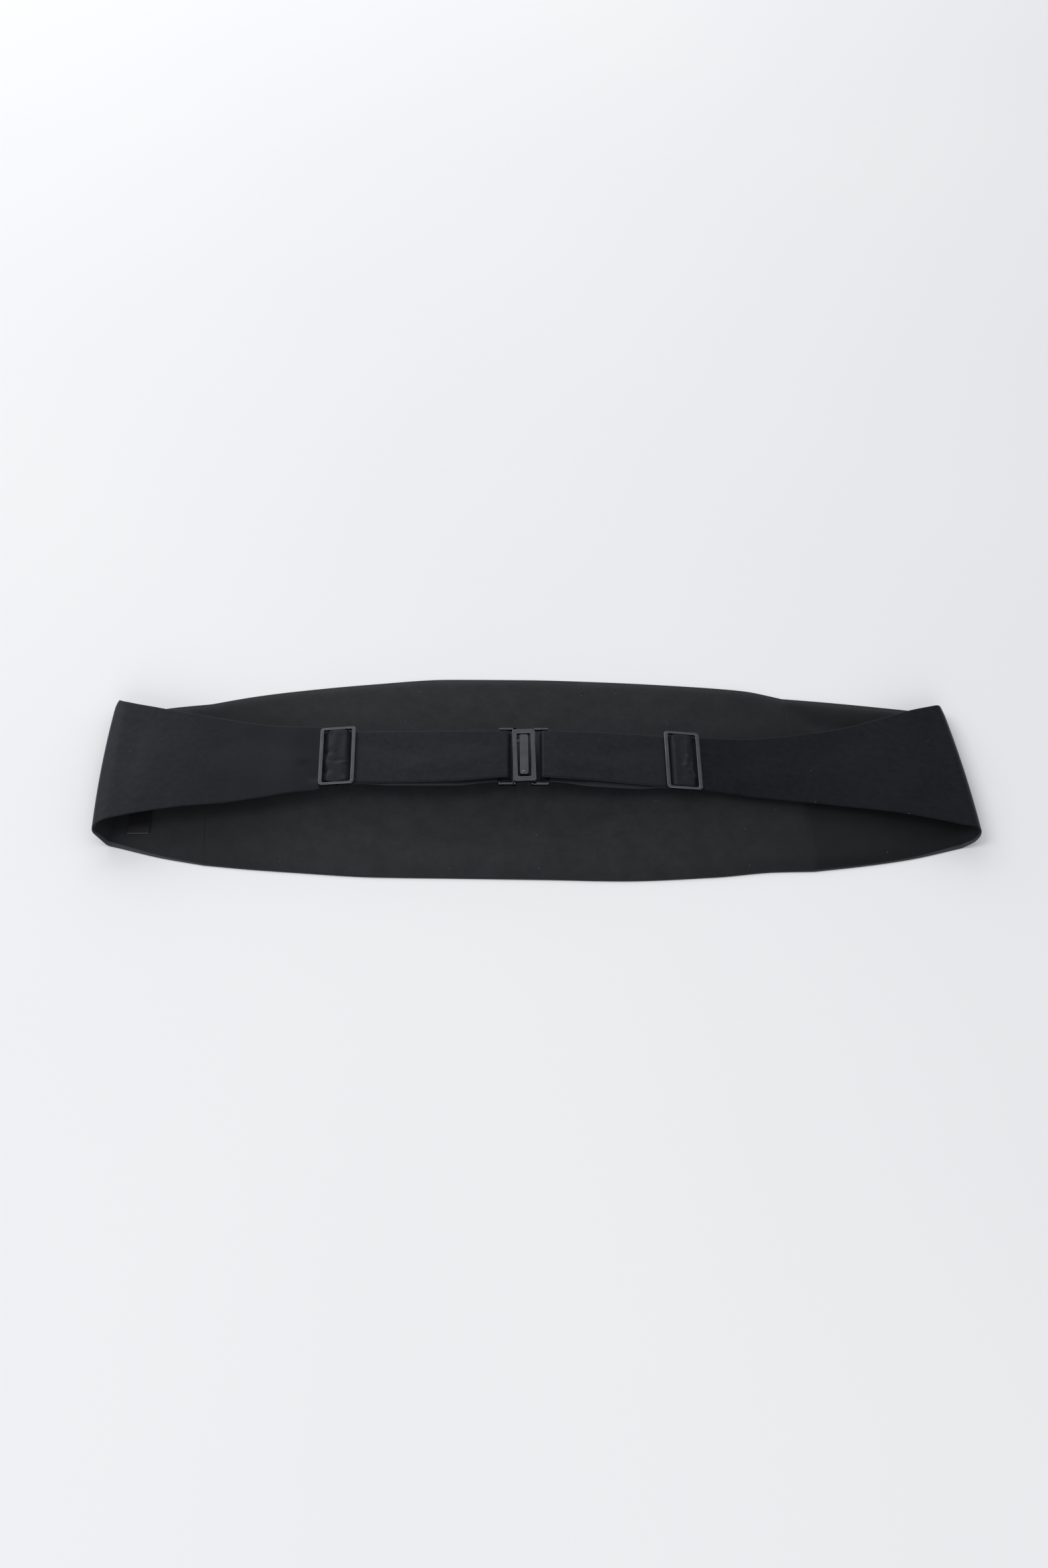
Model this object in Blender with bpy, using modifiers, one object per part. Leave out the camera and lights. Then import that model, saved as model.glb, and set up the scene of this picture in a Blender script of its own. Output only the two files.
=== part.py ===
"""A black satin sash of the cummerbund kind, fastened into a ring and laid flat.

The front panel lies face down. Its two tapered wings run out flat, fold up and over in
a small open loop and come back on top of it. Each narrows to an adjuster slide, from
which a doubled strap runs to the hook-and-eye clasp at the middle of the back.

Frame: X along the sash, Y across it, Z up. The origin is on the surface that the sash
lies on, under the middle of its box. Sizes below are in millimetres.
"""

import math

import bmesh
import bpy
from mathutils import Matrix, Vector

MM = 0.001

# Cloth and clearances
GAP = 0.3  # between pieces that touch
SATIN = 1.2  # the outer satin with its interlining
LINING = 1.0
TAPE = 1.2  # the strap's doubled satin
LABEL = 0.8

# Adjuster slides: a flat frame with a centre bar that lies a little lower
SLIDE_LONG = 35.4
SLIDE_WIDE = 17.5
SLIDE_THICK = 1.6
SLIDE_SIDE_BAR = 2.1
SLIDE_END_BAR = 1.6
SLIDE_CORNER = 1.8
CENTRE_BAR_WIDE = 2.2
CENTRE_BAR_LOW = -2.0  # below the frame's middle
CENTRE_BAR_HIGH = -0.7

# Each slide's place: its middle, its tilt about Y and its turn about Z, in degrees
SLIDES = {
    #           x,     z,  tilt, turn
    "left": (-96.7, 15.55, -3.6, 1.8),
    "right": (71.7, 11.85, 6.2, 0.0),
}

# Clasp: two flat wire-like loops, one on each strap, with the ring over the hook
LOOP_LONG = 36.4
LOOP_BAR = 1.6
LOOP_LOW = 13.35
LOOP_HIGH = 14.85
LOOP_CORNER = 1.0
HOOK_OUTER = -18.2
HOOK_INNER = -9.9
EYE_OUTER = 6.1
EYE_INNER = -2.4
RING_LEFT = -11.5
RING_RIGHT = -0.1
RING_LONG = 32.1
RING_HIGH = 16.75
RING_SIDE_BAR = 2.3
RING_END_BAR = 2.6
RING_CORNER = 1.2
TONGUE_LEFT = -7.9
TONGUE_RIGHT = -3.8
TONGUE_NEAR = -11.8
TONGUE_FAR = 12.9
TONGUE_HIGH = 16.45
SHELF_NEAR = -12.4  # the flat plate that carries the tongue
SHELF_LOW = 13.55
SHELF_HIGH = 14.75
TONGUE_CORNER = 1.1
RISER_LOW = 13.65  # the wall that carries the ring on the eye's loop
RISER_HIGH = 16.35
RISER_HALF = 15.25
METAL_EDGE = 0.3  # how far the metal's edges are rounded
SUNK = 0.1  # how far one joined piece of metal runs into the next

# Straps
STRAP_HALF = 15.8
STRAP_IN_WINDOW = 15.6
CROWN_HALF = 2.5  # half the strap's flat top over the slide's centre bar
CROWN_BEND = 2.6
BAR_BEND = 2.0  # where the strap comes out from under a slide's long bar
BAR_LANDING = 1.75  # from the long bar's middle to that bend
STRAP_LEAVES = 2.6  # from the long bar's middle to where the strap runs free
FREE_BEND = 12.0
TURN_ROUND_BAR = 2.35  # the strap's outer radius where it turns round the clasp's bar
TURN_LEFT = -16.85
TURN_RIGHT = 5.35
TURN_MIDDLE = (LOOP_LOW + LOOP_HIGH) / 2
TURN_RUN = 5.0  # the straight run beside that turn
NEAR_AT_TURN = -13.4
NEAR_BY_TURN = -13.9
FAR_AT_TURN = 15.4

# Wings' ends, which run in under the slides' long bars
END_RUN = 1.5  # from the slide's edge to the bend where the wing meets the bar
END_TAPER = 0.9  # how much narrower each edge is at the end
END_RIM = 0.6

# Label on the left wing's lining
LABEL_LEFT = -194.8
LABEL_RIGHT = -184.6
LABEL_NEAR = -37.7
LABEL_FAR = -12.0

# Bands are swept along X and Z from rows with these columns: the corner's x and z on
# the outer side, the radius its bend is rounded to, the near and far edges' y, the lean
# of the section along X for each millimetre of Y, how far the section's middle bows out
# along X past its ends, and how far a lining stays inside the near edge.
#    x,      z,  bend,  near,  far,   lean,  bow, rim
FRONT_PANEL = (
    (-161.65, 0.0, 0.0, -54.4, 46.4, -0.080, 0.0, 0.7),
    (-140.0, 0.0, 0.0, -56.8, 51.4, -0.076, 0.0, 0.6),
    (-120.0, 0.0, 0.0, -58.5, 54.8, -0.074, 0.0, 0.6),
    (-80.0, 0.0, 0.0, -61.3, 59.8, -0.070, 0.0, 0.6),
    (-40.0, 0.0, 0.0, -62.0, 63.1, -0.067, 0.0, 0.6),
    (0.0, 0.0, 0.0, -62.7, 62.8, -0.064, 0.0, 0.6),
    (36.0, 0.0, 0.0, -63.5, 61.4, -0.061, 0.0, 0.6),
    (80.0, 0.0, 0.0, -61.4, 58.4, -0.058, 0.0, 0.6),
    (110.0, 0.0, 0.0, -58.4, 55.2, -0.056, 0.0, 0.6),
    (127.75, 0.0, 0.0, -58.0, 50.2, -0.055, 0.0, 0.7),
)

LEFT_WING = (
    (-161.95, 0.0, 0.0, -54.4, 46.4, -0.080, 0.0, 0.7),
    (-180.0, 0.0, 0.0, -50.2, 44.4, -0.040, 0.0, 1.2),
    (-205.0, 0.0, 3.2, -42.8, 40.6, 0.0, 0.0, 2.2),
    (-212.8, 10.9, 3.7, -40.4, 39.7, 0.0, -1.2, 1.0),
    (-205.8, 14.1, 11.0, -37.4, 36.6, 0.0, -0.4, 0.7),
    (-190.0, 13.95, 60.0, -33.1, 32.9, 0.0, 0.0, 0.6),
    (-170.0, 13.2, 90.0, -28.9, 29.0, 0.0, 0.0, 0.6),
    (-150.0, 11.9, 90.0, -26.0, 25.6, 0.0, 0.0, 0.6),
    (-132.0, 12.2, 60.0, -22.9, 22.3, 0.0, 0.0, 0.6),
    (-117.0, 13.7, 50.0, -20.8, 20.3, 0.0, 0.0, 0.6),
)

RIGHT_WING = (
    (128.05, 0.0, 0.0, -58.0, 50.0, -0.055, 0.0, 0.7),
    (150.0, 0.0, 0.0, -55.2, 47.6, -0.050, 0.0, 0.7),
    (175.0, 0.0, 0.0, -51.0, 44.4, -0.045, 0.0, 0.9),
    (201.2, 0.0, 4.2, -44.2, 40.6, -0.050, 0.0, 1.8),
    (206.2, 2.9, 5.0, -42.7, 39.4, -0.066, 0.3, 1.4),
    (211.0, 11.4, 3.6, -39.9, 37.4, -0.085, 1.1, 1.0),
    (200.0, 10.7, 30.0, -38.0, 35.9, -0.080, 0.3, 0.7),
    (190.0, 10.5, 60.0, -34.8, 33.8, -0.060, 0.0, 0.6),
    (172.0, 9.2, 60.0, -29.6, 28.9, -0.030, 0.0, 0.6),
    (150.0, 7.0, 90.0, -24.6, 23.9, 0.0, 0.0, 0.6),
    (124.0, 6.4, 90.0, -20.8, 20.0, 0.0, 0.0, 0.6),
    (103.0, 6.9, 60.0, -18.4, 17.6, 0.0, 0.0, 0.6),
    (92.0, 8.2, 40.0, -17.5, 16.9, 0.0, 0.0, 0.6),
)

# The straps' runs between slide and clasp, the upper run's corners first and then the
# lower run's, with these columns: the outer face's x and z, the near and far edges' y.
#        x,    z,   near,  far
STRAP_RUNS = {
    "left": (
        ((-68.0, 15.2, -15.9, 15.9), (-42.0, 15.8, -15.6, 15.8)),
        ((-42.0, 10.8, -15.4, 15.5), (-68.0, 10.9, -15.3, 15.6)),
    ),
    "right": (
        ((50.0, 13.1, -15.5, 15.8), (28.0, 15.0, -14.4, 15.6)),
        ((28.0, 9.4, -14.4, 15.4), (48.0, 8.4, -14.9, 15.6)),
    ),
}

COLOURS = {
    #              red,   green, blue,  roughness, metallic
    "satin": (0.018, 0.019, 0.023, 0.45, 0.0),
    "lining": (0.016, 0.0165, 0.017, 0.70, 0.0),
    "label": (0.010, 0.010, 0.014, 0.60, 0.0),
    "metal": (0.20, 0.21, 0.23, 0.35, 0.9),
}


def empty_scene():
    for item in list(bpy.data.objects):
        bpy.data.objects.remove(item, do_unlink=True)


def new_collection(name):
    group = bpy.data.collections.new(name)
    bpy.context.scene.collection.children.link(group)
    return group


def make_material(name, key):
    """A part's own Principled material, in the finish that the key names."""
    red, green, blue, roughness, metallic = COLOURS[key]
    material = bpy.data.materials.new(name + "_" + key)
    material.use_nodes = True
    shader = material.node_tree.nodes["Principled BSDF"]
    shader.inputs["Base Color"].default_value = (red, green, blue, 1.0)
    shader.inputs["Roughness"].default_value = roughness
    shader.inputs["Metallic"].default_value = metallic
    return material


def add_object(name, mesh_data, group, key):
    item = bpy.data.objects.new(name, mesh_data)
    group.objects.link(item)
    if key:
        item.data.materials.append(make_material(name, key))
    return item


def rounded_path(rows, longest=9.0, widest_turn=16.0):
    """Points along the rows' corners, each bend an arc of its row's radius.

    Gives the points as (length along, x, z, direction) and the length at each row."""
    corners = [Vector((row[0], row[1])) for row in rows]
    points = []
    places = [0.0]
    along = 0.0
    last = corners[0]
    heading = (corners[1] - corners[0]).normalized()
    points.append((0.0, last.copy(), heading))
    for i in range(1, len(corners)):
        before = heading
        after = (corners[i + 1] - corners[i]).normalized() if i + 1 < len(corners) else before
        turn = before.angle_signed(after) if (before - after).length > 1e-6 else 0.0
        cut = abs(rows[i][2] * math.tan(turn / 2))
        start = corners[i] - before * cut
        run = (start - last).length
        steps = max(1, math.ceil(run / longest))
        for k in range(1, steps + 1):
            points.append((along + run * k / steps, last.lerp(start, k / steps), before))
        along += run
        arc = abs(rows[i][2] * turn)
        places.append(along + arc / 2)
        if arc > 1e-6:
            side = math.copysign(1.0, turn)
            centre = start + Vector((before.y, -before.x)) * rows[i][2] * side
            bends = max(2, math.ceil(math.degrees(abs(turn)) / widest_turn))
            for k in range(1, bends + 1):
                spun = Matrix.Rotation(-turn * k / bends, 2)
                points.append(
                    (along + arc * k / bends, centre + spun @ (start - centre), spun @ before)
                )
            along += arc
        last = points[-1][1]
        heading = after
    return points, places


def smooth(places, values, at):
    """A smooth curve through a column's values that never swings past them."""
    steps = [b - a for a, b in zip(places, places[1:])]
    rises = [(b - a) / s for a, b, s in zip(values, values[1:], steps)]
    slopes = [rises[0]]
    for left, right in zip(rises, rises[1:]):
        slopes.append(2 * left * right / (left + right) if left * right > 0 else 0.0)
    slopes.append(rises[-1])
    i = 0
    while i < len(steps) - 1 and at > places[i + 1]:
        i += 1
    t = min(1.0, max(0.0, (at - places[i]) / steps[i]))
    start_share = 2 * t**3 - 3 * t**2 + 1
    bend = (t**3 - 2 * t**2 + t) * slopes[i] + (t**3 - t**2) * slopes[i + 1]
    return start_share * values[i] + (1 - start_share) * values[i + 1] + bend * steps[i]


def band(name, rows, inner_side, depth, thickness, group, key, inset=0.0, columns=4):
    """A wall of cloth along the rows, the outer face depth inside the rows' own line.

    inner_side is 1 where the inside of the ring is to the right of the way the rows
    run, and -1 where it is to the left. An inset of 1 keeps the wall the rim column's
    distance inside the near edge, and half of it inside the far edge."""
    points, places = rounded_path(rows)
    grid = bmesh.new()
    bmesh.ops.create_grid(grid, x_segments=len(points) - 1, y_segments=columns, size=0.5)
    grid.verts.ensure_lookup_table()
    order = sorted(grid.verts, key=lambda v: (round(v.co.x, 5), round(v.co.y, 5)))
    column = [[row[k] for row in rows] for k in range(3, 8)]
    for i, (along, spot, heading) in enumerate(points):
        near, far, lean, bow, rim = (smooth(places, values, along) for values in column)
        inward = Vector((heading.y, -heading.x)) * inner_side
        spot = spot + inward * depth
        near += rim * inset
        far -= rim * inset * 0.5
        for j in range(columns + 1):
            share = j / columns
            y = near + (far - near) * share
            x = spot.x + lean * y + bow * 4 * share * (1 - share)
            order[i * (columns + 1) + j].co = Vector((x, y, spot.y)) * MM
    bmesh.ops.recalc_face_normals(grid, faces=grid.faces)
    grid.normal_update()
    grid.faces.ensure_lookup_table()
    first = grid.faces[0]
    outward = -Vector((points[0][2].y, -points[0][2].x)) * inner_side
    if first.normal.x * outward.x + first.normal.z * outward.y < 0:
        bmesh.ops.reverse_faces(grid, faces=grid.faces)
    mesh_data = bpy.data.meshes.new(name)
    grid.to_mesh(mesh_data)
    grid.free()
    item = add_object(name, mesh_data, group, key)
    wall = item.modifiers.new("wall", "SOLIDIFY")
    wall.thickness = thickness * MM
    wall.offset = -1.0
    wall.use_even_offset = True
    item.data.shade_smooth()
    item.data.set_sharp_from_angle(angle=math.radians(40))
    return item


def plate(name, x_span, y_span, z_span, corner, group, key=None):
    """A flat block with its upright edges rounded to the corner radius."""
    block = bmesh.new()
    bmesh.ops.create_cube(block, size=1.0)
    size = [(b - a) * MM for a, b in (x_span, y_span, z_span)]
    middle = [(a + b) / 2 * MM for a, b in (x_span, y_span, z_span)]
    bmesh.ops.scale(block, vec=size, verts=block.verts)
    bmesh.ops.translate(block, vec=middle, verts=block.verts)
    if corner:
        upright = [
            edge
            for edge in block.edges
            if abs(edge.verts[0].co.z - edge.verts[1].co.z) > size[2] / 2
        ]
        bmesh.ops.bevel(
            block,
            geom=upright,
            offset=corner * MM,
            segments=3,
            profile=0.5,
            affect="EDGES",
            material=-1,
        )
    mesh_data = bpy.data.meshes.new(name)
    block.to_mesh(mesh_data)
    block.free()
    return add_object(name, mesh_data, group, key)


def combine(item, other, operation):
    """Cuts or joins another shape, which stays in the cutters' collection."""
    change = item.modifiers.new(other.name, "BOOLEAN")
    change.operation = operation
    change.solver = "EXACT"
    change.object = other
    other.hide_render = True
    other.display_type = "WIRE"


def round_metal(item):
    """Rounds the metal's edges once its shape is cut and joined."""
    edges = item.modifiers.new("rounded edges", "BEVEL")
    edges.width = METAL_EDGE * MM
    edges.segments = 2
    edges.limit_method = "ANGLE"
    edges.angle_limit = math.radians(50)


def slide_point(side, u, w):
    """A point of a slide's own section, u along its width and w up, in X and Z."""
    x, z, tilt, _ = SLIDES[side]
    slope = math.radians(-tilt)
    return (
        x + u * math.cos(slope) - w * math.sin(slope),
        z + u * math.sin(slope) + w * math.cos(slope),
    )


def make_slide(side, parts, cutters):
    x, z, tilt, turn = SLIDES[side]
    wide = SLIDE_WIDE / 2
    long = SLIDE_LONG / 2
    thick = SLIDE_THICK / 2
    frame = plate(
        "slide_" + side, (-wide, wide), (-long, long), (-thick, thick), SLIDE_CORNER, parts, "metal"
    )
    window_wide = wide - SLIDE_SIDE_BAR
    window_long = long - SLIDE_END_BAR
    window = plate(
        "window_" + side,
        (-window_wide, window_wide),
        (-window_long, window_long),
        (-2 * thick, 2 * thick),
        SLIDE_CORNER / 2,
        cutters,
    )
    bar = plate(
        "centre_bar_" + side,
        (-CENTRE_BAR_WIDE / 2, CENTRE_BAR_WIDE / 2),
        (-long + SLIDE_END_BAR / 4, long - SLIDE_END_BAR / 4),
        (CENTRE_BAR_LOW, CENTRE_BAR_HIGH),
        0.0,
        cutters,
    )
    combine(frame, window, "DIFFERENCE")
    combine(frame, bar, "UNION")
    round_metal(frame)
    place = Matrix.Translation(Vector((x, 0.0, z)) * MM)
    place = place @ Matrix.Rotation(math.radians(turn), 4, "Z")
    place = place @ Matrix.Rotation(math.radians(tilt), 4, "Y")
    for item in (frame, window, bar):
        item.matrix_world = place


def make_loop(name, x_span, parts, cutters):
    """One half's rectangular loop, whose outer bar lies inside the strap's turn."""
    low, high = x_span
    half = LOOP_LONG / 2
    height = (LOOP_LOW, LOOP_HIGH)
    loop = plate(name, x_span, (-half, half), height, LOOP_CORNER, parts, "metal")
    hole = plate(
        name + "_hole",
        (low + LOOP_BAR, high - LOOP_BAR),
        (-half + LOOP_BAR, half - LOOP_BAR),
        (LOOP_LOW - 1.0, LOOP_HIGH + 1.0),
        LOOP_CORNER / 2,
        cutters,
    )
    combine(loop, hole, "DIFFERENCE")
    return loop


def make_clasp(parts, cutters):
    hook = make_loop("clasp_hook", (HOOK_OUTER, HOOK_INNER), parts, cutters)
    shelf = plate(
        "hook_shelf",
        (HOOK_INNER - LOOP_BAR / 2, TONGUE_RIGHT),
        (SHELF_NEAR, TONGUE_FAR + SUNK),
        (SHELF_LOW, SHELF_HIGH),
        0.0,
        cutters,
    )
    tongue = plate(
        "hook_tongue",
        (TONGUE_LEFT, TONGUE_RIGHT + SUNK),
        (TONGUE_NEAR, TONGUE_FAR - SUNK),
        (SHELF_HIGH - 8 * SUNK, TONGUE_HIGH),
        TONGUE_CORNER,
        cutters,
    )
    combine(hook, shelf, "UNION")
    combine(hook, tongue, "UNION")
    round_metal(hook)

    eye = make_loop("clasp_eye", (EYE_INNER, EYE_OUTER), parts, cutters)
    half = RING_LONG / 2
    riser = plate(
        "eye_riser",
        (RING_RIGHT - RING_SIDE_BAR + SUNK, RING_RIGHT - SUNK),
        (-RISER_HALF, RISER_HALF),
        (RISER_LOW, RISER_HIGH),
        0.0,
        cutters,
    )
    ring_height = (LOOP_HIGH + GAP, RING_HIGH)
    ring = plate("eye_ring", (RING_LEFT, RING_RIGHT), (-half, half), ring_height, RING_CORNER, cutters)
    slot = plate(
        "eye_slot",
        (RING_LEFT + RING_SIDE_BAR, RING_RIGHT - RING_SIDE_BAR),
        (-half + RING_END_BAR, half - RING_END_BAR),
        (LOOP_HIGH - 0.5, RING_HIGH + 1.0),
        RING_CORNER,
        cutters,
    )
    combine(ring, slot, "DIFFERENCE")
    combine(eye, riser, "UNION")
    combine(eye, ring, "UNION")
    round_metal(eye)


def make_wing(side, rows, inner_side, parts):
    """The wing's satin and lining, ended under the slide's nearer long bar."""
    sign = -1 if side == "left" else 1
    bar = SLIDE_WIDE / 2 - SLIDE_SIDE_BAR / 2
    top = -SLIDE_THICK / 2 - GAP
    lean = -math.tan(math.radians(SLIDES[side][3]))
    enter = slide_point(side, sign * (SLIDE_WIDE / 2 + END_RUN), top)
    stop = slide_point(side, sign * (bar + GAP / 2), top)
    wide = rows[-1][4] - END_TAPER / 2
    narrow = wide - END_TAPER
    rows = rows + (
        (enter[0], enter[1], FREE_BEND, -wide, wide, lean, 0.0, END_RIM),
        (stop[0], stop[1], 0.0, -narrow, narrow, lean, 0.0, END_RIM),
    )
    band("wing_shell_" + side, rows, inner_side, 0.0, SATIN, parts, "satin")
    band("wing_lining_" + side, rows, inner_side, SATIN + GAP, LINING, parts, "lining", 1.0)


def strap_rows(side):
    """The strap's outer face: over the slide's centre bar, along to the clasp, round the
    clasp's outer bar and back beneath to the slide's centre bar."""
    sign = 1 if side == "left" else -1
    turn_x = TURN_LEFT if side == "left" else TURN_RIGHT
    lean = -math.tan(math.radians(SLIDES[side][3]))
    under_bar = -SLIDE_THICK / 2 - GAP
    crown = CENTRE_BAR_HIGH + GAP + TAPE
    bar = SLIDE_WIDE / 2 - SLIDE_SIDE_BAR / 2
    below = under_bar - TAPE - GAP - TAPE
    below_centre = CENTRE_BAR_LOW - GAP - TAPE
    half = STRAP_HALF
    window = STRAP_IN_WINDOW

    def at_slide(u, w, bend, width):
        x, z = slide_point(side, sign * u, w)
        return (x, z, bend, -width, width, lean, 0.0, 0.0)

    high = TURN_MIDDLE + TURN_ROUND_BAR
    low = TURN_MIDDLE - TURN_ROUND_BAR
    reach = turn_x + sign * TURN_ROUND_BAR
    upper, lower = STRAP_RUNS[side]
    rows = [
        at_slide(-bar + GAP / 2, under_bar, 0.0, window),
        at_slide(-bar + BAR_LANDING, under_bar, BAR_BEND, window),
        at_slide(-CROWN_HALF, crown, CROWN_BEND, window),
        at_slide(CROWN_HALF, crown, CROWN_BEND, window),
        at_slide(bar - BAR_LANDING, under_bar, BAR_BEND, window),
        at_slide(bar + STRAP_LEAVES, under_bar, FREE_BEND, half),
    ]
    rows += [(x, z, 80.0, near, far, 0.0, 0.0, 0.0) for x, z, near, far in upper]
    beside = turn_x - sign * TURN_RUN
    round_bar = (TURN_ROUND_BAR, NEAR_AT_TURN, FAR_AT_TURN, 0.0, 0.0, 0.0)
    by_bar = (20.0, NEAR_BY_TURN, FAR_AT_TURN, 0.0, 0.0, 0.0)
    rows += [
        (beside, high, *by_bar),
        (reach, high, *round_bar),
        (reach, low, *round_bar),
        (beside, low, *by_bar),
    ]
    rows += [(x, z, 60.0, near, far, 0.0, 0.0, 0.0) for x, z, near, far in lower]
    rows += [
        at_slide(bar + STRAP_LEAVES, below, FREE_BEND, window),
        at_slide(bar - BAR_LANDING, below, FREE_BEND, window),
        at_slide(-CENTRE_BAR_WIDE, below_centre, 0.0, window),
    ]
    return tuple(rows)


def make_label(parts):
    base = SATIN + GAP + LINING + GAP
    tag = plate(
        "label",
        (LABEL_LEFT, LABEL_RIGHT),
        (LABEL_NEAR, LABEL_FAR),
        (base, base + LABEL),
        0.0,
        parts,
        "label",
    )
    tag.data.shade_flat()


def build():
    empty_scene()
    parts = new_collection("satin_sash")
    cutters = new_collection("cutters")
    band("front_shell", FRONT_PANEL, -1, 0.0, SATIN, parts, "satin", columns=6)
    band("front_lining", FRONT_PANEL, -1, SATIN + GAP, LINING, parts, "lining", 1.0, columns=6)
    make_wing("left", LEFT_WING, 1, parts)
    make_wing("right", RIGHT_WING, -1, parts)
    band("strap_left", strap_rows("left"), 1, 0.0, TAPE, parts, "satin")
    band("strap_right", strap_rows("right"), -1, 0.0, TAPE, parts, "satin")
    make_slide("left", parts, cutters)
    make_slide("right", parts, cutters)
    make_clasp(parts, cutters)
    make_label(parts)
    bpy.context.view_layer.update()


build()
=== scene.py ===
# %% [markdown]
# A black satin waist sash, fastened into a ring and laid flat on a pale table.
#
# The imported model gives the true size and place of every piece. This lesson dresses
# it: each plain solid is replaced by cloth or metal with its own turned edges, creases
# and finish. Sizes are written in millimetres and turned to metres as they are used.

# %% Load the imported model
import math

import bmesh
import bpy
from mathutils import Matrix, Vector


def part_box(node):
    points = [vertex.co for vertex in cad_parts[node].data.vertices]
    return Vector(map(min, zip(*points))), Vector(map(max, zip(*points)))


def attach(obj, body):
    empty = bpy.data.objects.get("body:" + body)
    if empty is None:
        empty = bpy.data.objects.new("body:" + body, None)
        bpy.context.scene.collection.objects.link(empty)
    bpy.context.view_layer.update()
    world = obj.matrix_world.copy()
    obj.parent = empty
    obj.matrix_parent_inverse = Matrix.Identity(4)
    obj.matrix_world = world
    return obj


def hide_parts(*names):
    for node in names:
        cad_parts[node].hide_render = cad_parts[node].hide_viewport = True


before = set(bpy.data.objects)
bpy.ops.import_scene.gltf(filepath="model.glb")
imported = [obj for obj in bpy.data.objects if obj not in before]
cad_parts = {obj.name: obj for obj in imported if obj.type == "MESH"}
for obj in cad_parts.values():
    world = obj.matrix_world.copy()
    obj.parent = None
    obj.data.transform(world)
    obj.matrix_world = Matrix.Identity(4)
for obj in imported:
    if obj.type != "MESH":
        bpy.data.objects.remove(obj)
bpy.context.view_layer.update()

MM = 0.001


# %% [markdown]
# The camera stands where the photographer stood: in front of the sash, looking down at
# it. A view's focal length is easiest to carry over as pixels of the image, because it
# then holds for any sensor: the lens is the sensor's width times that number, over the
# image's width. The picture is kept as neutral as a scanner's, with no film-like curve.

# %% Place the camera
IMAGE_WIDE_PX = 1568
FOCAL_PX = 2480
SENSOR = 24.0
VIEW_ELEVATION = math.radians(52.0)
VIEW_DISTANCE = 814.8
VIEW_TARGET = Vector((-5.9, -5.2, 0.0))

camera_data = bpy.data.cameras.new("camera")
camera_data.sensor_fit = "HORIZONTAL"
camera_data.sensor_width = SENSOR
camera_data.lens = FOCAL_PX / IMAGE_WIDE_PX * SENSOR
camera = bpy.data.objects.new("camera", camera_data)
bpy.context.scene.collection.objects.link(camera)
towards_camera = Vector((0.0, -math.cos(VIEW_ELEVATION), math.sin(VIEW_ELEVATION)))
camera.location = (VIEW_TARGET + towards_camera * VIEW_DISTANCE) * MM
camera.rotation_euler = (math.pi / 2 - VIEW_ELEVATION, 0.0, 0.0)
bpy.context.scene.camera = camera
bpy.context.scene.view_settings.view_transform = "Standard"
print("Lens in mm:", round(camera_data.lens, 2))

# %% [markdown]
# Colours are picked as sRGB hex values, the numbers that a colour picker shows. Shaders
# work with linear light, so one function turns them over.

# %% Colours and nodes
def linear(hex_colour):
    """An sRGB hex colour as the linear colour that a socket takes."""
    shares = [int(hex_colour[i : i + 2], 16) / 255 for i in (1, 3, 5)]
    straight = [c / 12.92 if c <= 0.04045 else ((c + 0.055) / 1.055) ** 2.4 for c in shares]
    return (*straight, 1.0)


def add_node(tree, kind, values=None, links=None, stops=None, **settings):
    """Adds a node with its settings, its sockets' values, what is linked to them and,
    for a colour ramp, its stops."""
    new = tree.nodes.new(kind)
    for name, value in settings.items():
        setattr(new, name, value)
    for socket, value in (values or {}).items():
        new.inputs[socket].default_value = value
    for socket, source in (links or {}).items():
        tree.links.new(source, new.inputs[socket])
    for place, (position, colour) in enumerate(stops or []):
        marks = new.color_ramp.elements
        mark = marks[place] if place < 2 else marks.new(position)
        mark.position = position
        mark.color = colour
    return new


def new_material(name, values):
    """A material with its node tree and its Principled shader, whose sockets take the
    values."""
    material = bpy.data.materials.new(name)
    material.use_nodes = True
    shader = material.node_tree.nodes["Principled BSDF"]
    for socket, value in values.items():
        shader.inputs[socket].default_value = value
    return material, material.node_tree, shader


# %% [markdown]
# The light is that of a plain white studio: an even sky all round, a large soft panel
# high on the left, a low one behind the camera and a wide strip low behind the sash. A
# black cloth shows little of its own colour. What the eye reads is what it mirrors, so
# the side panel makes the left wing lighter than the right one. The low front panel
# lights the near edges and keeps the shadows beside them narrow.

# %% Floor and light
FLOOR_HALF = 1800.0
FLOOR_DROP = 0.15
PAPER_PATCH = 500.0  # how wide the paper's faintly lighter and darker patches are
CLOUD_DARK = 0.3  # the noise gives the dark shade up to this value
CLOUD_LIGHT = 0.7  # and the light shade from this one
SKY_COLOUR = "#f7f8fa"
SKY_STRENGTH = 0.585
SOFT_PANELS = {
    #                 place,                    width,  height, watts
    "soft_side": ((-1090.0, 0.0, 1556.0), 1000.0, 1000.0, 8.1),
    "soft_front": ((0.0, -1722.0, 803.0), 1000.0, 1000.0, 9.4),
    "soft_strip": ((-590.0, 1618.0, 803.0), 2400.0, 1000.0, 14.9),
}


def make_object(name, shape, material):
    """Makes a finished bmesh an object of one material."""
    mesh_data = bpy.data.meshes.new(name)
    shape.to_mesh(mesh_data)
    shape.free()
    mesh_data.materials.append(material)
    item = bpy.data.objects.new(name, mesh_data)
    bpy.context.scene.collection.objects.link(item)
    return item


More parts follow.
